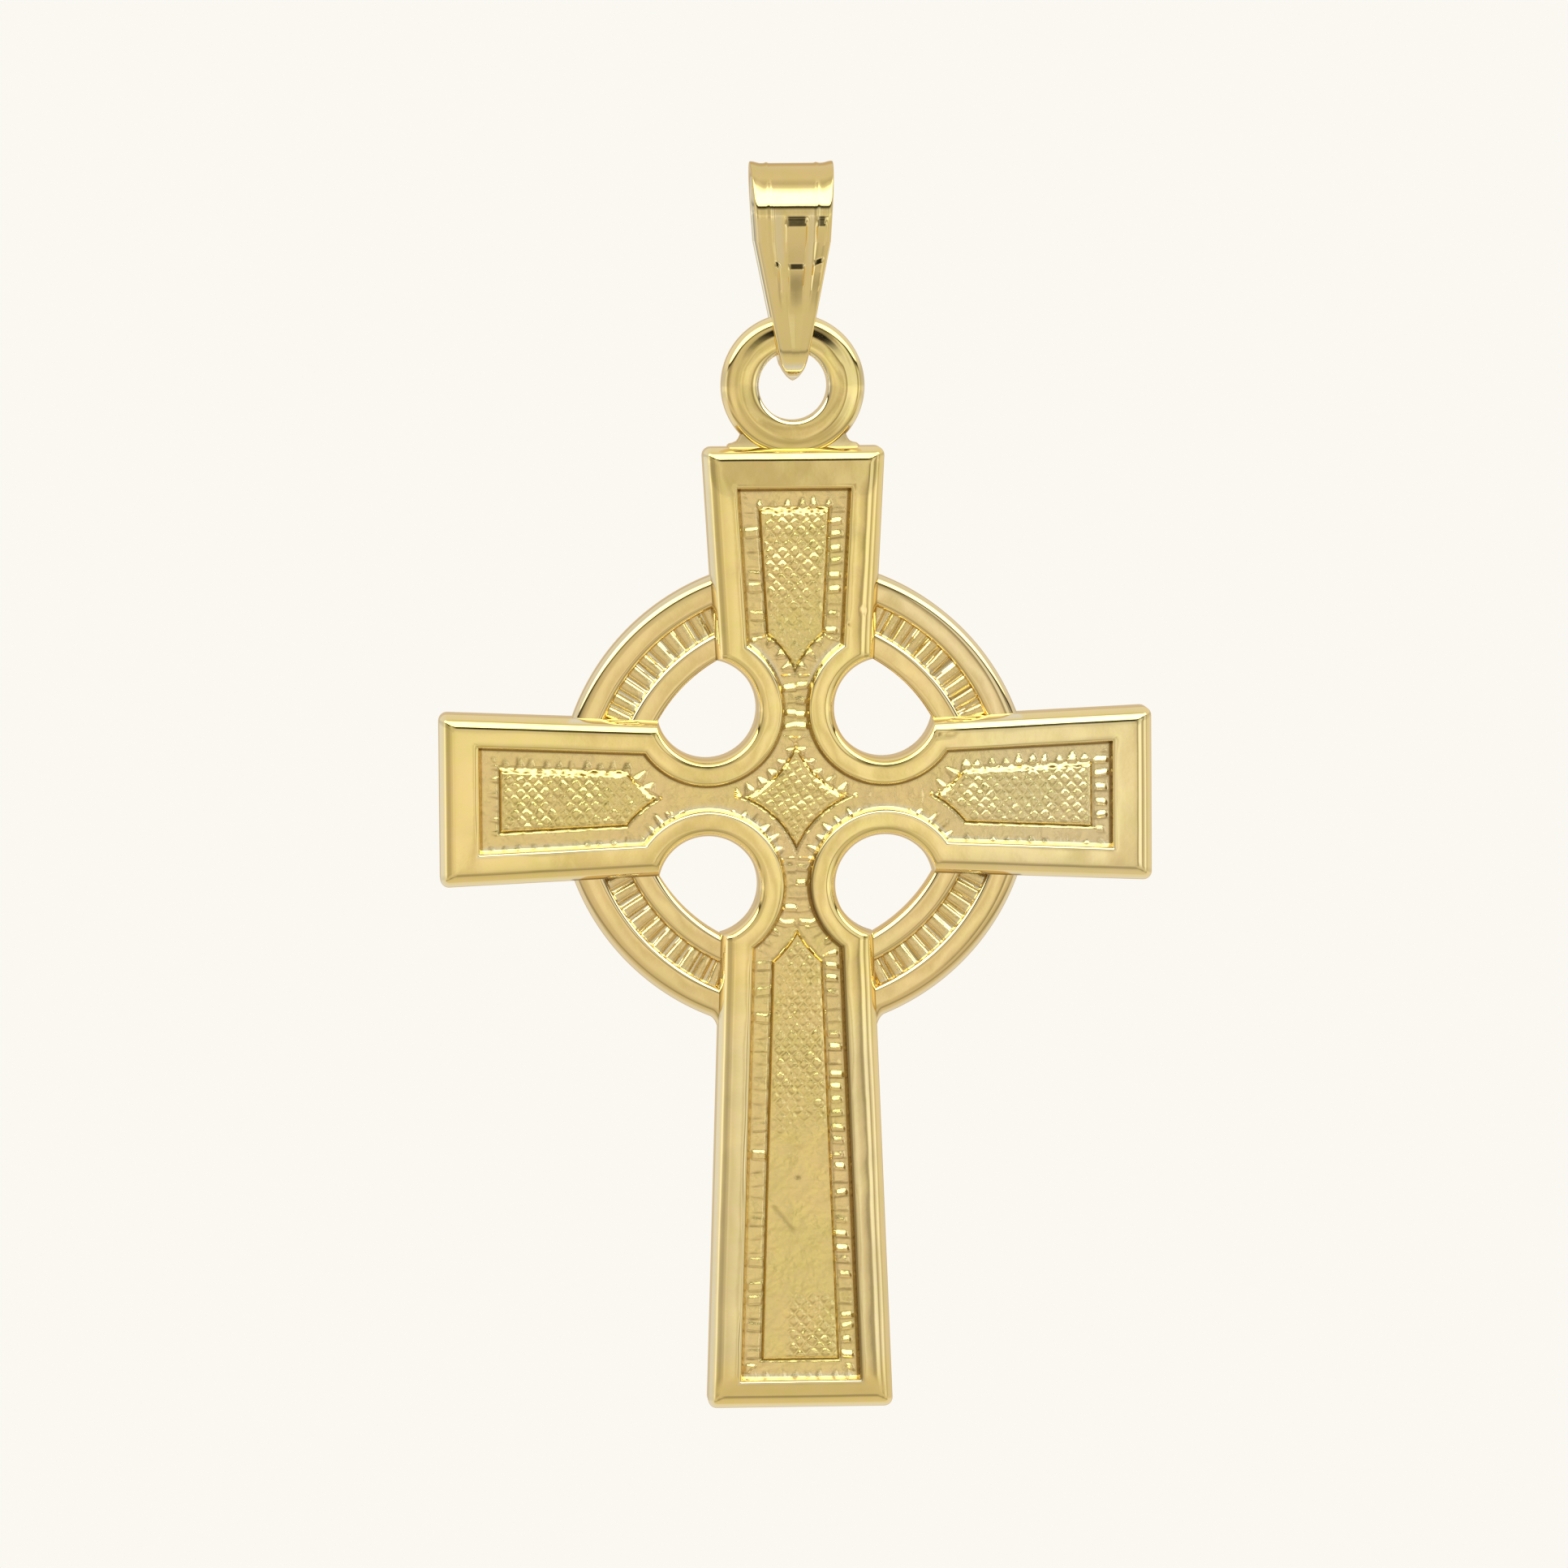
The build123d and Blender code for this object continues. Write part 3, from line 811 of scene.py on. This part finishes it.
def ring_floor(radius, angle):
    """Height in the channel, with broad rounded bars, and where they get painted shade and painted
    highlights.
    """
    across = (radius - CHANNEL_INNER) / (CHANNEL_OUTER - CHANNEL_INNER)
    run = angle / RIB_PITCH_ANGLE
    index = np.floor(run)
    shift = 0.16 * (chance(index, 3, 1) - 0.5) + 0.16 * (chance(index, 5, 2) - 0.5) * (across - 0.5)
    offset = run - index - 0.5 - shift
    away = np.abs(offset)
    half = 0.42 + 0.05 * (chance(index, 7, 3) - 0.5)
    bar = 1 - ease(half - 0.16, half + 0.02, away)
    crown = 1 - 0.35 * (away / half) ** 2
    size = 0.75 + 0.35 * chance(index, 11, 4)
    lowered = 1 - 0.30 * ease(0.35, 0.0, across) * chance(index, 13, 5)
    height = CHANNEL_FLOOR + RIB_RISE * bar * crown * size * lowered
    side = np.sign(offset) * np.cos(np.radians(angle))
    gap = ease(half - 0.04, half + 0.04, away) * (0.22 + 0.45 * chance(index, 17, 6))
    gap = gap * np.clip(0.40 - 0.90 * side, 0, 1)
    bright = np.clip(0.9 * side, 0, 1) * ease(half - 0.22, half - 0.10, away)
    return height, gap, bright


def ring_paint(radius, angle):
    """Painted shade in the channel's corners, and painted highlights on the pale bevels, the bore and the
    channel's edges.
    """
    up = np.sin(np.radians(angle))
    outer = bell(radius - CHANNEL_OUTER, 0.05) * np.clip(0.16 + 0.16 * up, 0, 1)
    inner = bell(radius - CHANNEL_INNER, 0.04) * np.clip(0.30 - 0.40 * up, 0, 1)
    pale = 0.55 + 0.20 * ease(0.2, 0.8, np.cos(np.radians(angle - 135)))
    pale = pale * ease(RING_OUTER - 0.20, RING_OUTER - 0.06, radius)
    bore = 0.20 * ease(0.0, 0.5, -up) * ease(RING_BORE + 0.24, RING_BORE + 0.16, radius)
    upper_right = 0.18 * ease(0.80, 0.95, np.cos(np.radians(angle - 38)))
    upper_right = upper_right * ease(CHANNEL_OUTER + 0.10, CHANNEL_OUTER + 0.20, radius)
    facing_up = ease(0.0, 0.6, up) * bell(radius - CHANNEL_INNER, 0.08)
    facing_down = ease(0.0, 0.6, -up) * bell(radius - CHANNEL_OUTER, 0.08)
    return np.maximum(outer, inner), most(pale, bore, upper_right, facing_up, 0.8 * facing_down)


def closed_turn(rows):
    """Quads over rows of points that close on themselves both ways."""
    count, wide = len(rows[0]), len(rows)
    faces = []
    for row in range(wide):
        above = (row + 1) % wide
        for i in range(count):
            j = (i + 1) % count
            faces.append([row * count + i, above * count + i, above * count + j, row * count + j])
    return faces


def make_ring(polished, satin):
    """The ring behind the arms, turned as one closed section and ribbed in its channel."""
    angles = np.arange(0, 360, RING_TURN)
    turn = np.radians(angles)
    below = ease(0.1, 0.5, -np.sin(turn))
    stations = [(RING_BORE + 0.04, RING_BACK), (RING_BORE, RING_BACK + 0.05), (RING_BORE, 0.45)]
    for distance in (0, 0.02, 0.032, 0.045, 0.06, 0.08, 0.11, 0.14, 0.17, 0.19, 0.22):
        fall = drop(RING_INSIDE, distance) * (1 - below) + drop(RING_INSIDE_BELOW, distance) * below
        stations.append((RING_BORE + distance, RING_FACE + fall))
    side_rows = (0.0, 0.03, 0.06, 0.10, 0.14, 0.18)
    sides = [(distance, RING_FACE + drop(CHANNEL_SIDE, distance)) for distance in side_rows]
    stations += [(CHANNEL_INNER - distance, height) for distance, height in reversed(sides)]
    stations += [(radius, None) for radius in np.linspace(CHANNEL_INNER + 0.04, CHANNEL_OUTER - 0.04, 10)]
    stations += [(CHANNEL_OUTER + distance, height) for distance, height in sides]
    for distance in (0.40, 0.31, 0.29, 0.26, 0.23, 0.20, 0.17, 0.15, 0.12, 0.09, 0.06, 0.03, 0.012, 0):
        stations.append((RING_OUTER - distance, RING_FACE + drop(RING_OUTSIDE, distance)))
    stations += [(RING_OUTER, 0.35), (RING_OUTER, RING_BACK + 0.05), (RING_OUTER - 0.05, RING_BACK)]
    points, shades, pales = [], [], []
    from_shaft = np.clip(np.abs((angles - 90) % 360 - 180) - RING_MEETS_SHAFT, 0, None)
    fillet = SHAFT_FILLET * np.clip(1 - np.radians(from_shaft) * RING_OUTER / (1.5 * SHAFT_FILLET), 0, 1) ** 2
    for radius, height in stations:
        swell = fillet * ease(CHANNEL_OUTER + 0.3, RING_OUTER, radius)
        x, y = (radius + swell) * np.cos(turn), (radius + swell) * np.sin(turn)
        # Painted shade in the corners and in the bars' gaps, and painted highlights on the bevels and on the
        # bars' sides that face up
        corner, pale = ring_paint(radius, angles)
        if height is None:
            z, gap, bright = ring_floor(radius, angles)
            corner = np.maximum(corner, gap)
            pale = np.maximum(pale, bright)
        else:
            z = np.zeros_like(angles) + height
            z = z + RING_WAVES * (noise(x, y, 0.9, 71) - 1) * ease(-0.12, -0.04, height - RING_FACE)
        points.append(np.stack([x, y, z], axis=1))
        on_front = height is None or np.max(height) > 0.6
        shades.append(np.maximum(corner, 0.08) if on_front else 0 * corner)
        pales.append(pale)
    paint = {"shade": np.concatenate(shades), "pale": np.concatenate(pales)}
    paint["rose"] = np.full(len(paint["pale"]), 0.35)
    index = np.repeat([int(height is None) for _, height in stations], len(angles))
    faces = closed_turn(points)
    make_piece("cross_ring", place(np.concatenate(points)), faces, [polished, satin], paint, index)


def make_eye(polished):
    """The eye: a flat-faced round rim with bevelled edges, turned as one closed section."""
    half = EYE_THICKNESS / 2
    angles = np.radians(np.arange(0, 360, EYE_TURN))
    above = ease(0.30, 0.60, np.sin(angles))
    profile = [(EYE_HOLE, 0.0), (EYE_HOLE, half - 0.20)]
    for distance in (0.0, 0.02, 0.04, 0.06, 0.085, 0.11, 0.14, 0.18, 0.26):
        profile.append((EYE_HOLE + distance, half + drop(EYE_INSIDE, distance)))
    profile.append((EYE_HOLE + 0.37, half))
    for distance in (
        0.70, 0.66, 0.61, 0.58, 0.55, 0.51, 0.47, 0.42, 0.395, 0.37, 0.32, 0.26, 0.23, 0.20, 0.18, 0.15, 0.12,
        0.09, 0.06, 0.03, 0.012, 0.0,
    ):
        plain = drop(EYE_OUTSIDE, distance)
        fall = plain + above * (drop(EYE_OUTSIDE_ABOVE, distance) - plain)
        profile.append((EYE_OUTER - distance, half + fall))
    profile.append((EYE_OUTER, 0.0))
    profile += [(radius, -height) for radius, height in reversed(profile[1:-1])]
    points, pales, shades = [], [], []
    for radius, height in profile:
        outer, inner = EYE_OUTER - radius, radius - EYE_HOLE
        x, y = radius * np.cos(angles), EYE_HEIGHT + radius * np.sin(angles)
        z = np.full(len(angles), EYE_MIDDLE + height)
        z = z + EYE_WAVES * (noise(x, y, 0.9, 81) - 1) * ease(half - 0.15, half - 0.05, height)
        points.append(np.stack([x, y, z], axis=1))
        # Painted highlights near the outer edge and round the bore
        rim = 0.5 * ease(0.18, 0.04, outer)
        bore = 0.7 * ease(0.14, 0.04, inner)
        pales.append(max(rim, bore) + np.zeros(len(angles)))

        # Painted shade by the solder, darker on the face's lower half, and painted dark reflections of the
        # bail on the arcs beside it
        solder = 0.9 * ease(0.20, 0.05, outer) * ease(11.5, 11.2, y)
        face = MARK_SHADE * ease(13.0, 12.0, y) * ease(0.30, 0.45, outer) * ease(0.15, 0.30, inner)
        arcs = MARK_SHADE * (0.36 < outer < 0.60) * ease(0.50, 0.62, np.sin(angles))
        shades.append(most(solder, face, arcs) * (height > 0.3))
    paint = {"pale": np.concatenate(pales), "shade": np.concatenate(shades)}
    make_piece("cross_eye", place(np.concatenate(points)), closed_turn(points), [polished], paint)


def make_seat(polished):
    """The solder under the eye: a thin slab on the top arm's end with a fillet up each side."""
    foot = REACH[TOP]
    half = [
        (SEAT_HALF_WIDTH, -0.05), (SEAT_HALF_WIDTH, 0.05), (SEAT_HALF_WIDTH - 0.06, 0.10), (1.86, 0.12),
        (1.74, 0.17), (1.66, 0.27), (1.61, 0.40), (1.59, 0.52), (1.40, 0.50), (0.70, 0.30),
    ]
    outline = np.array([(x, foot + y) for x, y in half] + [(-x, foot + y) for x, y in reversed(half)])
    centre = np.array([0.0, foot + 0.12])
    rows = []
    inward = centre - outline
    inward = inward / np.linalg.norm(inward, axis=1)[:, None]
    levels = ((SEAT_BACK, 0.05), (SEAT_BACK + 0.05, 0.0), (SEAT_FRONT - 0.10, 0.0), (SEAT_FRONT, 0.06))
    for height, pull in levels:
        rows.append(np.column_stack([outline + inward * pull, np.full(len(outline), height)]))
    count = len(outline)
    faces = []
    for row in range(len(rows) - 1):
        for i in range(count):
            j = (i + 1) % count
            faces.append([row * count + j, row * count + i, (row + 1) * count + i, (row + 1) * count + j])
    faces.append(list(range(count)))
    faces.append([len(rows) * count - 1 - i for i in range(count)])
    points = np.concatenate(rows)
    # Painted shade near the eye, where the seat meets it
    shade = 0.45 * ease(1.9, 1.5, np.abs(points[:, 0])) * (points[:, 1] > foot + 0.15)
    paint = {"shade": shade, "pale": np.full(len(points), 0.35)}
    make_piece("cross_seat", place(points), faces, [polished], paint)


def tapered_hull(circles, count):
    """Half outline of a chain of circles on the Z axis, from the top round the front to the bottom."""
    path = []
    angle = math.pi / 2
    for (z0, r0), (z1, r1) in zip(circles[:-1], circles[1:]):
        lean = math.asin((r0 - r1) / (z0 - z1))
        arc = np.linspace(angle, -lean, 40)
        path += [(-r0 * math.cos(a), z0 + r0 * math.sin(a)) for a in arc]
        angle = -lean
    z1, r1 = circles[-1]
    arc = np.linspace(angle, -math.pi / 2, 40)
    path += [(-r1 * math.cos(a), z1 + r1 * math.sin(a)) for a in arc]
    path = np.array(path)
    length = np.concatenate([[0], np.cumsum(np.linalg.norm(np.diff(path, axis=0), axis=1))])
    even = length[-1] * np.interp(np.linspace(0, 1, count), *ROW_SPREAD)
    return np.stack([np.interp(even, length, path[:, i]) for i in (0, 1)], axis=1)


def strap_half_width(z):
    """Half width of the strap at each height."""
    heights = [BAIL_END + rise for rise in (0, 0.04, 0.11, 0.25, 0.42)] + [-4.85, -2.08, BAIL_TOP]
    return np.interp(z, heights, [0.03, 0.12, 0.20, 0.29, 0.37, 0.59, 1.13, 1.28])


def strap_lift(x, half, z, top):
    """How far the strap's outer face stands above its plain fold, across one row of points."""
    share = x / half
    rounding = EDGE_ROUNDING * (1 - 0.75 * top)
    edge = np.clip((np.abs(x) - half + rounding) / rounding, 0, 1)
    lift = -rounding * (1 - np.sqrt(np.clip(1 - edge**2, 0, 1)))
    lift = lift + EAR_RISE * top * ease(0.72, 0.97, np.abs(share))
    lift = lift + LINE_RISE * bell(np.abs(x) - LINE_PLACE * half, LINE_WIDTH) * ease(-3.4, -1.9, z)

    # A shallow step and a lower ledge between the lines, and a crease that narrows to the tip.
    # The step grows steeper while the strap still curves, so the whole of it faces one way.
    down = np.clip(STEP_START - z, 0, STEP_DROP)
    turn = np.clip(down, 0, 0.125)
    step = (0.161 * down + 0.677 * (turn * down - turn**2 / 2)) * ease(-3.6, -1.6, z)
    ledge = 0.31 * np.clip(ledge_start(share) - z, 0, LEDGE_DROP) * ease(-4.3, -2.95, z)
    lift = lift + step * across_step(share) + ledge * across_ledge(share)
    width = np.interp(z, [-6.1, -2.9], [0.04, 0.42])
    crease = np.clip(width - np.abs(x - 0.05), 0, None) * ease(-2.9, -4.6, z)
    return lift - CREASE_SLOPE * crease


def window(value, low, high):
    """One between two places, falling to nothing just outside them."""
    return ease(low - 0.03, low + 0.03, value) * ease(high + 0.03, high - 0.03, value)


def across_step(share):
    """Where the step lies across the strap, as shares of its half width."""
    return window(share, -0.20, 0.34) + window(share, 0.60, 0.85)


def across_ledge(share):
    return window(share, -0.16, 0.32) + window(share, 0.61, 0.88) + window(share, -0.57, -0.46)


def ledge_start(share):
    """Height at which the ledge starts, higher towards the strap's edges."""
    return -2.72 + 0.40 * np.clip(np.abs(share) - 0.36, 0, 0.6)


def strap_shade(x, half, z):
    """Painted shade on the faces of the step and of the ledge."""
    share = x / half
    on_step = window(z, STEP_START - STEP_DROP, STEP_START)
    on_ledge = window(z - ledge_start(share), -LEDGE_DROP, 0)
    return MARK_SHADE * np.clip(on_step * across_step(share) + on_ledge * across_ledge(share), 0, 1)


def strap_pale(x, half, z):
    """Painted highlights: the paler strips beside the raised lines, one edge and the pale tip, over a slight
    paleness all over.
    """
    share = x / half
    strips = window(share, -0.50, -0.30) + 0.8 * window(share, 0.40, 0.54)
    strips = strips * ease(-1.10, -1.25, z) * ease(-3.0, -2.5, z)
    edge = ease(half - 0.16, half - 0.07, -x) * ease(-1.0, -1.6, z)
    return np.clip(0.10 + 0.30 * strips + 0.85 * ease(-5.70, -5.95, z) + 0.25 * edge, 0, 0.95)


def make_bail(polished):
    """The bail: a strap folded round the eye's rim, with two raised lines down its front."""
    count = STRAP_ROWS
    top_fold, lower_fold = (STRAP - BAIL_TOP_RADIUS, BAIL_TOP_RADIUS), (LOWER_FOLD_HEIGHT, LOWER_FOLD_RADIUS)
    outer = tapered_hull([top_fold, lower_fold, (BAIL_END + BAIL_TIP_RADIUS, BAIL_TIP_RADIUS)], count)
    inner = tapered_hull([(top_fold[0], BAIL_TOP_RADIUS - STRAP), (STRAP - BAIL_DROP, CRADLE_RADIUS)], count)
    near_edge = np.array([0.0, 0.012, 0.03, 0.055, 0.085, 0.12])
    rows, pales, shades = [], [], []
    for i in range(2 * count - 2):
        back = i >= count
        k = 2 * count - 2 - i if back else i
        flip = np.array([-1.0, 1.0]) if back else np.array([1.0, 1.0])
        before, after = outer[max(k - 1, 0)], outer[min(k + 1, count - 1)]
        along = (after - before) / np.linalg.norm(after - before)
        normal = np.array([along[1], -along[0]])
        half = float(strap_half_width(outer[k][1]))
        border = np.minimum(near_edge, half * 0.9 * near_edge / near_edge[-1])
        between = np.linspace(border[-1] - half, half - border[-1], STRAP_COLUMNS)[1:-1]
        x = np.concatenate([border - half, between, half - border[::-1]])
        top = float(ease(0.35, 0.85, normal[1]))
        marks = PLAIN_BACK if back else outer[k][1]
        face = outer[k] + normal * strap_lift(x, half, marks, top)[:, None]
        inner_x = x[::-1] * float(strap_half_width(inner[k][1])) / half
        rounding = np.clip((np.abs(inner_x) - np.abs(inner_x).max() + EDGE_ROUNDING) / EDGE_ROUNDING, 0, 1)
        sink = EDGE_ROUNDING * (1 - np.sqrt(np.clip(1 - rounding**2, 0, 1)))
        inside = inner[k] + normal * sink[:, None]
        sheet = np.concatenate([face, inside]) * flip
        rows.append(np.column_stack([np.concatenate([x, inner_x]), sheet]))
        # Painted highlights, and painted shade on the fold over the top and on the step and ledge
        pales.append(np.tile(strap_pale(x, half, marks), 2))
        shades.append(np.tile(0.22 * top + strap_shade(x, half, marks), 2))
    faces = [face[::-1] for face in closed_turn(rows)]
    paint = {"pale": np.concatenate(pales), "shade": np.concatenate(shades)}
    points = np.concatenate(rows) * MM
    make_piece(
        "bail_strap", points, faces, [polished], paint, body="hanger", node="bail"
    )


def nodes_for(material):
    material.use_nodes = True
    tree = material.node_tree
    return tree, tree.nodes["Principled BSDF"]


def connect(tree, value, socket):
    """Links an output to a socket, or gives the socket a plain value."""
    if isinstance(value, bpy.types.NodeSocket):
        tree.links.new(value, socket)
    else:
        socket.default_value = value


def math_node(tree, operation, *values):
    """The result of one sum over outputs or plain values."""
    node = tree.nodes.new("ShaderNodeMath")
    node.operation = operation
    for socket, value in zip(node.inputs, values):
        connect(tree, value, socket)
    return node.outputs["Value"]


def map_range(tree, source, start, end, low=0.0, high=1.0, smooth=False):
    """Turns one range of values into another."""
    node = tree.nodes.new("ShaderNodeMapRange")
    node.interpolation_type = "SMOOTHSTEP" if smooth else "LINEAR"
    for name, value in (("From Min", start), ("From Max", end), ("To Min", low), ("To Max", high)):
        node.inputs[name].default_value = value
    tree.links.new(source, node.inputs["Value"])
    return node.outputs["Result"]


def blend(tree, factor, first, second, how="MIX"):
    """Blends two colours."""
    node = tree.nodes.new("ShaderNodeMix")
    node.data_type = "RGBA"
    node.blend_type = how
    sockets = (node.inputs["Factor"], node.inputs[6], node.inputs[7])
    for socket, value in zip(sockets, (factor, first, second)):
        connect(tree, value, socket)
    return node.outputs[2]


def gold(name, roughness, spread, grain, depth):
    """Yellow gold: polished or satin by its roughness, with uneven tone, painted highlights on pale bevels,
    and painted shade and tarnish.
    """
    material = bpy.data.materials.new(name)
    tree, shader = nodes_for(material)
    link = tree.links.new
    shader.inputs["Metallic"].default_value = 1.0
    coords = tree.nodes.new("ShaderNodeTexCoord")

    def texture(scale, detail):
        node = tree.nodes.new("ShaderNodeTexNoise")
        node.inputs["Scale"].default_value = scale
        node.inputs["Detail"].default_value = detail
        link(coords.outputs["Object"], node.inputs["Vector"])
        return node.outputs["Fac"]

    def spread_out(source, low, high):
        """Noise keeps near its middle, so its middle part is spread over a whole range."""
        return map_range(tree, source, *NOISE_SPAN, low, high)

    def painted(layer):
        node = tree.nodes.new("ShaderNodeAttribute")
        node.attribute_name = layer
        return node.outputs["Fac"]

    patches = texture(FINE_TONE, 3.0)
    tone = blend(tree, spread_out(texture(BROAD_TONE, 2.0), 0.0, 1.0), GREEN_GOLD, WARM_GOLD)
    tone = blend(tree, spread_out(patches, 0.0, 0.35), tone, ROSE_GOLD)
    # Rose tone, then painted highlights (pale) and painted shade with tarnish (shade) over it
    for layer, colour in (("rose", ROSE_GOLD), ("pale", PALE_GOLD), ("shade", SHADE_AND_TARNISH)):
        tone = blend(tree, painted(layer), tone, colour)
    link(tone, shader.inputs["Base Color"])
    dull = map_range(tree, painted("shade"), 0.15, 0.75, 0.0, DULLING, smooth=True)
    uneven = spread_out(patches, roughness - spread, roughness + spread)
    link(math_node(tree, "ADD", uneven, dull), shader.inputs["Roughness"])
    bump = tree.nodes.new("ShaderNodeBump")
    bump.inputs["Strength"].default_value = 1.0
    bump.inputs["Distance"].default_value = depth
    link(texture(grain, 3.0), bump.inputs["Height"])
    link(bump.outputs["Normal"], shader.inputs["Normal"])
    return material


def world_colour(value):
    """The light's colour at a given brightness, warm where dim and cool where bright."""
    shares = ((1, 0.95, 0.92, 0.92), (0.975, 1.03, 1.06, 1.06), (0.90, 1.15, 1.0, 0.86))
    tint = [np.interp(value, (0.8, 1.2, 2.0, 3.2), share) for share in shares]
    return tuple(value * channel / BRIGHTEST for channel in tint) + (1,)


def ramp(tree, source, reach, stops, colour=world_colour):
    """A colour ramp over an angle from -reach to reach, whose stops are given as (degrees, brightness)."""
    node = tree.nodes.new("ShaderNodeValToRGB")
    turned_angle = map_range(tree, source, math.radians(-reach), math.radians(reach))
    tree.links.new(turned_angle, node.inputs["Fac"])
    elements = node.color_ramp.elements
    while len(elements) > 1:
        elements.remove(elements[-1])
    for number, (angle, value) in enumerate(stops):
        position = (angle + reach) / (2 * reach)
        element = elements[0] if number == 0 else elements.new(position)
        element.position = position
        element.color = colour(value)
    return node.outputs["Color"]


def light_world():
    """Soft light all round, with the dark and bright zones that the polished metal mirrors."""
    world = bpy.data.worlds.new("studio")
    bpy.context.scene.world = world
    world.use_nodes = True
    tree = world.node_tree
    background = tree.nodes["Background"]
    coords = tree.nodes.new("ShaderNodeTexCoord")
    split = tree.nodes.new("ShaderNodeSeparateXYZ")
    tree.links.new(coords.outputs["Generated"], split.inputs["Vector"])
    forward = math_node(tree, "MULTIPLY", split.outputs["Y"], -1.0)
    azimuth = math_node(tree, "ARCTAN2", split.outputs["X"], forward)
    elevation = math_node(tree, "ARCSINE", split.outputs["Z"])
    vertical = ramp(tree, elevation, 90, VERTICAL_LIGHT)
    level = ramp(tree, azimuth, 180, LEVEL_LIGHT)
    share = ramp(tree, elevation, 14, LEVEL_SHARE, lambda value: (value, value, value, 1))

    ahead = map_range(tree, forward, *BEHIND_TO_AHEAD, smooth=True)
    sky = blend(tree, ahead, world_colour(BEHIND), vertical)
    near_level = blend(tree, 1.0, level, share, "MULTIPLY")
    height = math_node(tree, "ABSOLUTE", elevation)
    away = map_range(tree, height, *map(math.radians, LEVEL_TO_SKY), smooth=True)
    far_behind = tuple(channel / BRIGHTEST for channel in FAR_BEHIND) + (1,)
    near = map_range(tree, forward, *FAR_TO_NEAR, smooth=True)
    everything = blend(tree, near, far_behind, blend(tree, away, near_level, sky))
    tree.links.new(everything, background.inputs["Color"])
    background.inputs["Strength"].default_value = BRIGHTEST


def make_stage():
    """Pale walls all round that glow evenly, well clear of the pendant, which doesn't mirror them."""
    material = bpy.data.materials.new("pale_paper")
    tree, shader = nodes_for(material)
    tree.nodes.remove(shader)
    glow = tree.nodes.new("ShaderNodeEmission")
    glow.inputs["Color"].default_value = PAPER
    tree.links.new(glow.outputs["Emission"], tree.nodes["Material Output"].inputs["Surface"])
    corners = [(x, y, z) for x in (-0.8, 0.8) for y in (-0.9, 0.7) for z in (-0.45, 0.8)]
    walls = {
        "backdrop": (2, 6, 7, 3),
        "floor": (0, 4, 6, 2),
        "ceiling": (1, 5, 7, 3),
        "left_wall": (0, 2, 3, 1),
        "right_wall": (4, 6, 7, 5),
        "near_wall": (0, 4, 5, 1),
    }
    for name, wall in walls.items():
        mesh = bpy.data.meshes.new(name)
        mesh.from_pydata([corners[i] for i in wall], [], [(0, 1, 2, 3)])
        mesh.materials.append(material)
        piece = bpy.data.objects.new(name, mesh)
        bpy.context.scene.collection.objects.link(piece)
        piece.visible_glossy = False
        piece.visible_diffuse = False
        piece.visible_shadow = False


def make_camera():
    """The camera, at the photograph's angle and framing."""
    data = bpy.data.cameras.new("camera")
    data.lens = LENS
    data.sensor_width = SENSOR
    camera = bpy.data.objects.new("camera", data)
    bpy.context.scene.collection.objects.link(camera)
    a, e = math.radians(CAMERA_AZIMUTH), math.radians(CAMERA_ELEVATION)
    back = Vector((math.sin(a) * math.cos(e), -math.cos(a) * math.cos(e), math.sin(e)))
    target = Vector(FRAME_CENTRE) * MM
    camera.location = target + back * FRAME_WIDTH * MM * LENS / SENSOR
    camera.rotation_mode = "QUATERNION"
    roll = Quaternion((0, 0, 1), math.radians(CAMERA_ROLL))
    camera.rotation_quaternion = (-back).to_track_quat("-Z", "Y") @ roll
    data.clip_start, data.clip_end = 0.01, 5.0
    bpy.context.scene.camera = camera


make_camera()
make_stage()
light_world()
bpy.context.scene.view_settings.view_transform = "Standard"

polished = gold("polished_gold", roughness=0.035, spread=0.015, grain=1800.0, depth=0.0000015)
satin = gold("satin_gold", roughness=0.19, spread=0.05, grain=6000.0, depth=0.000008)
make_arms(polished, satin)
make_ring(polished, satin)
make_eye(polished)
make_seat(polished)
make_bail(polished)
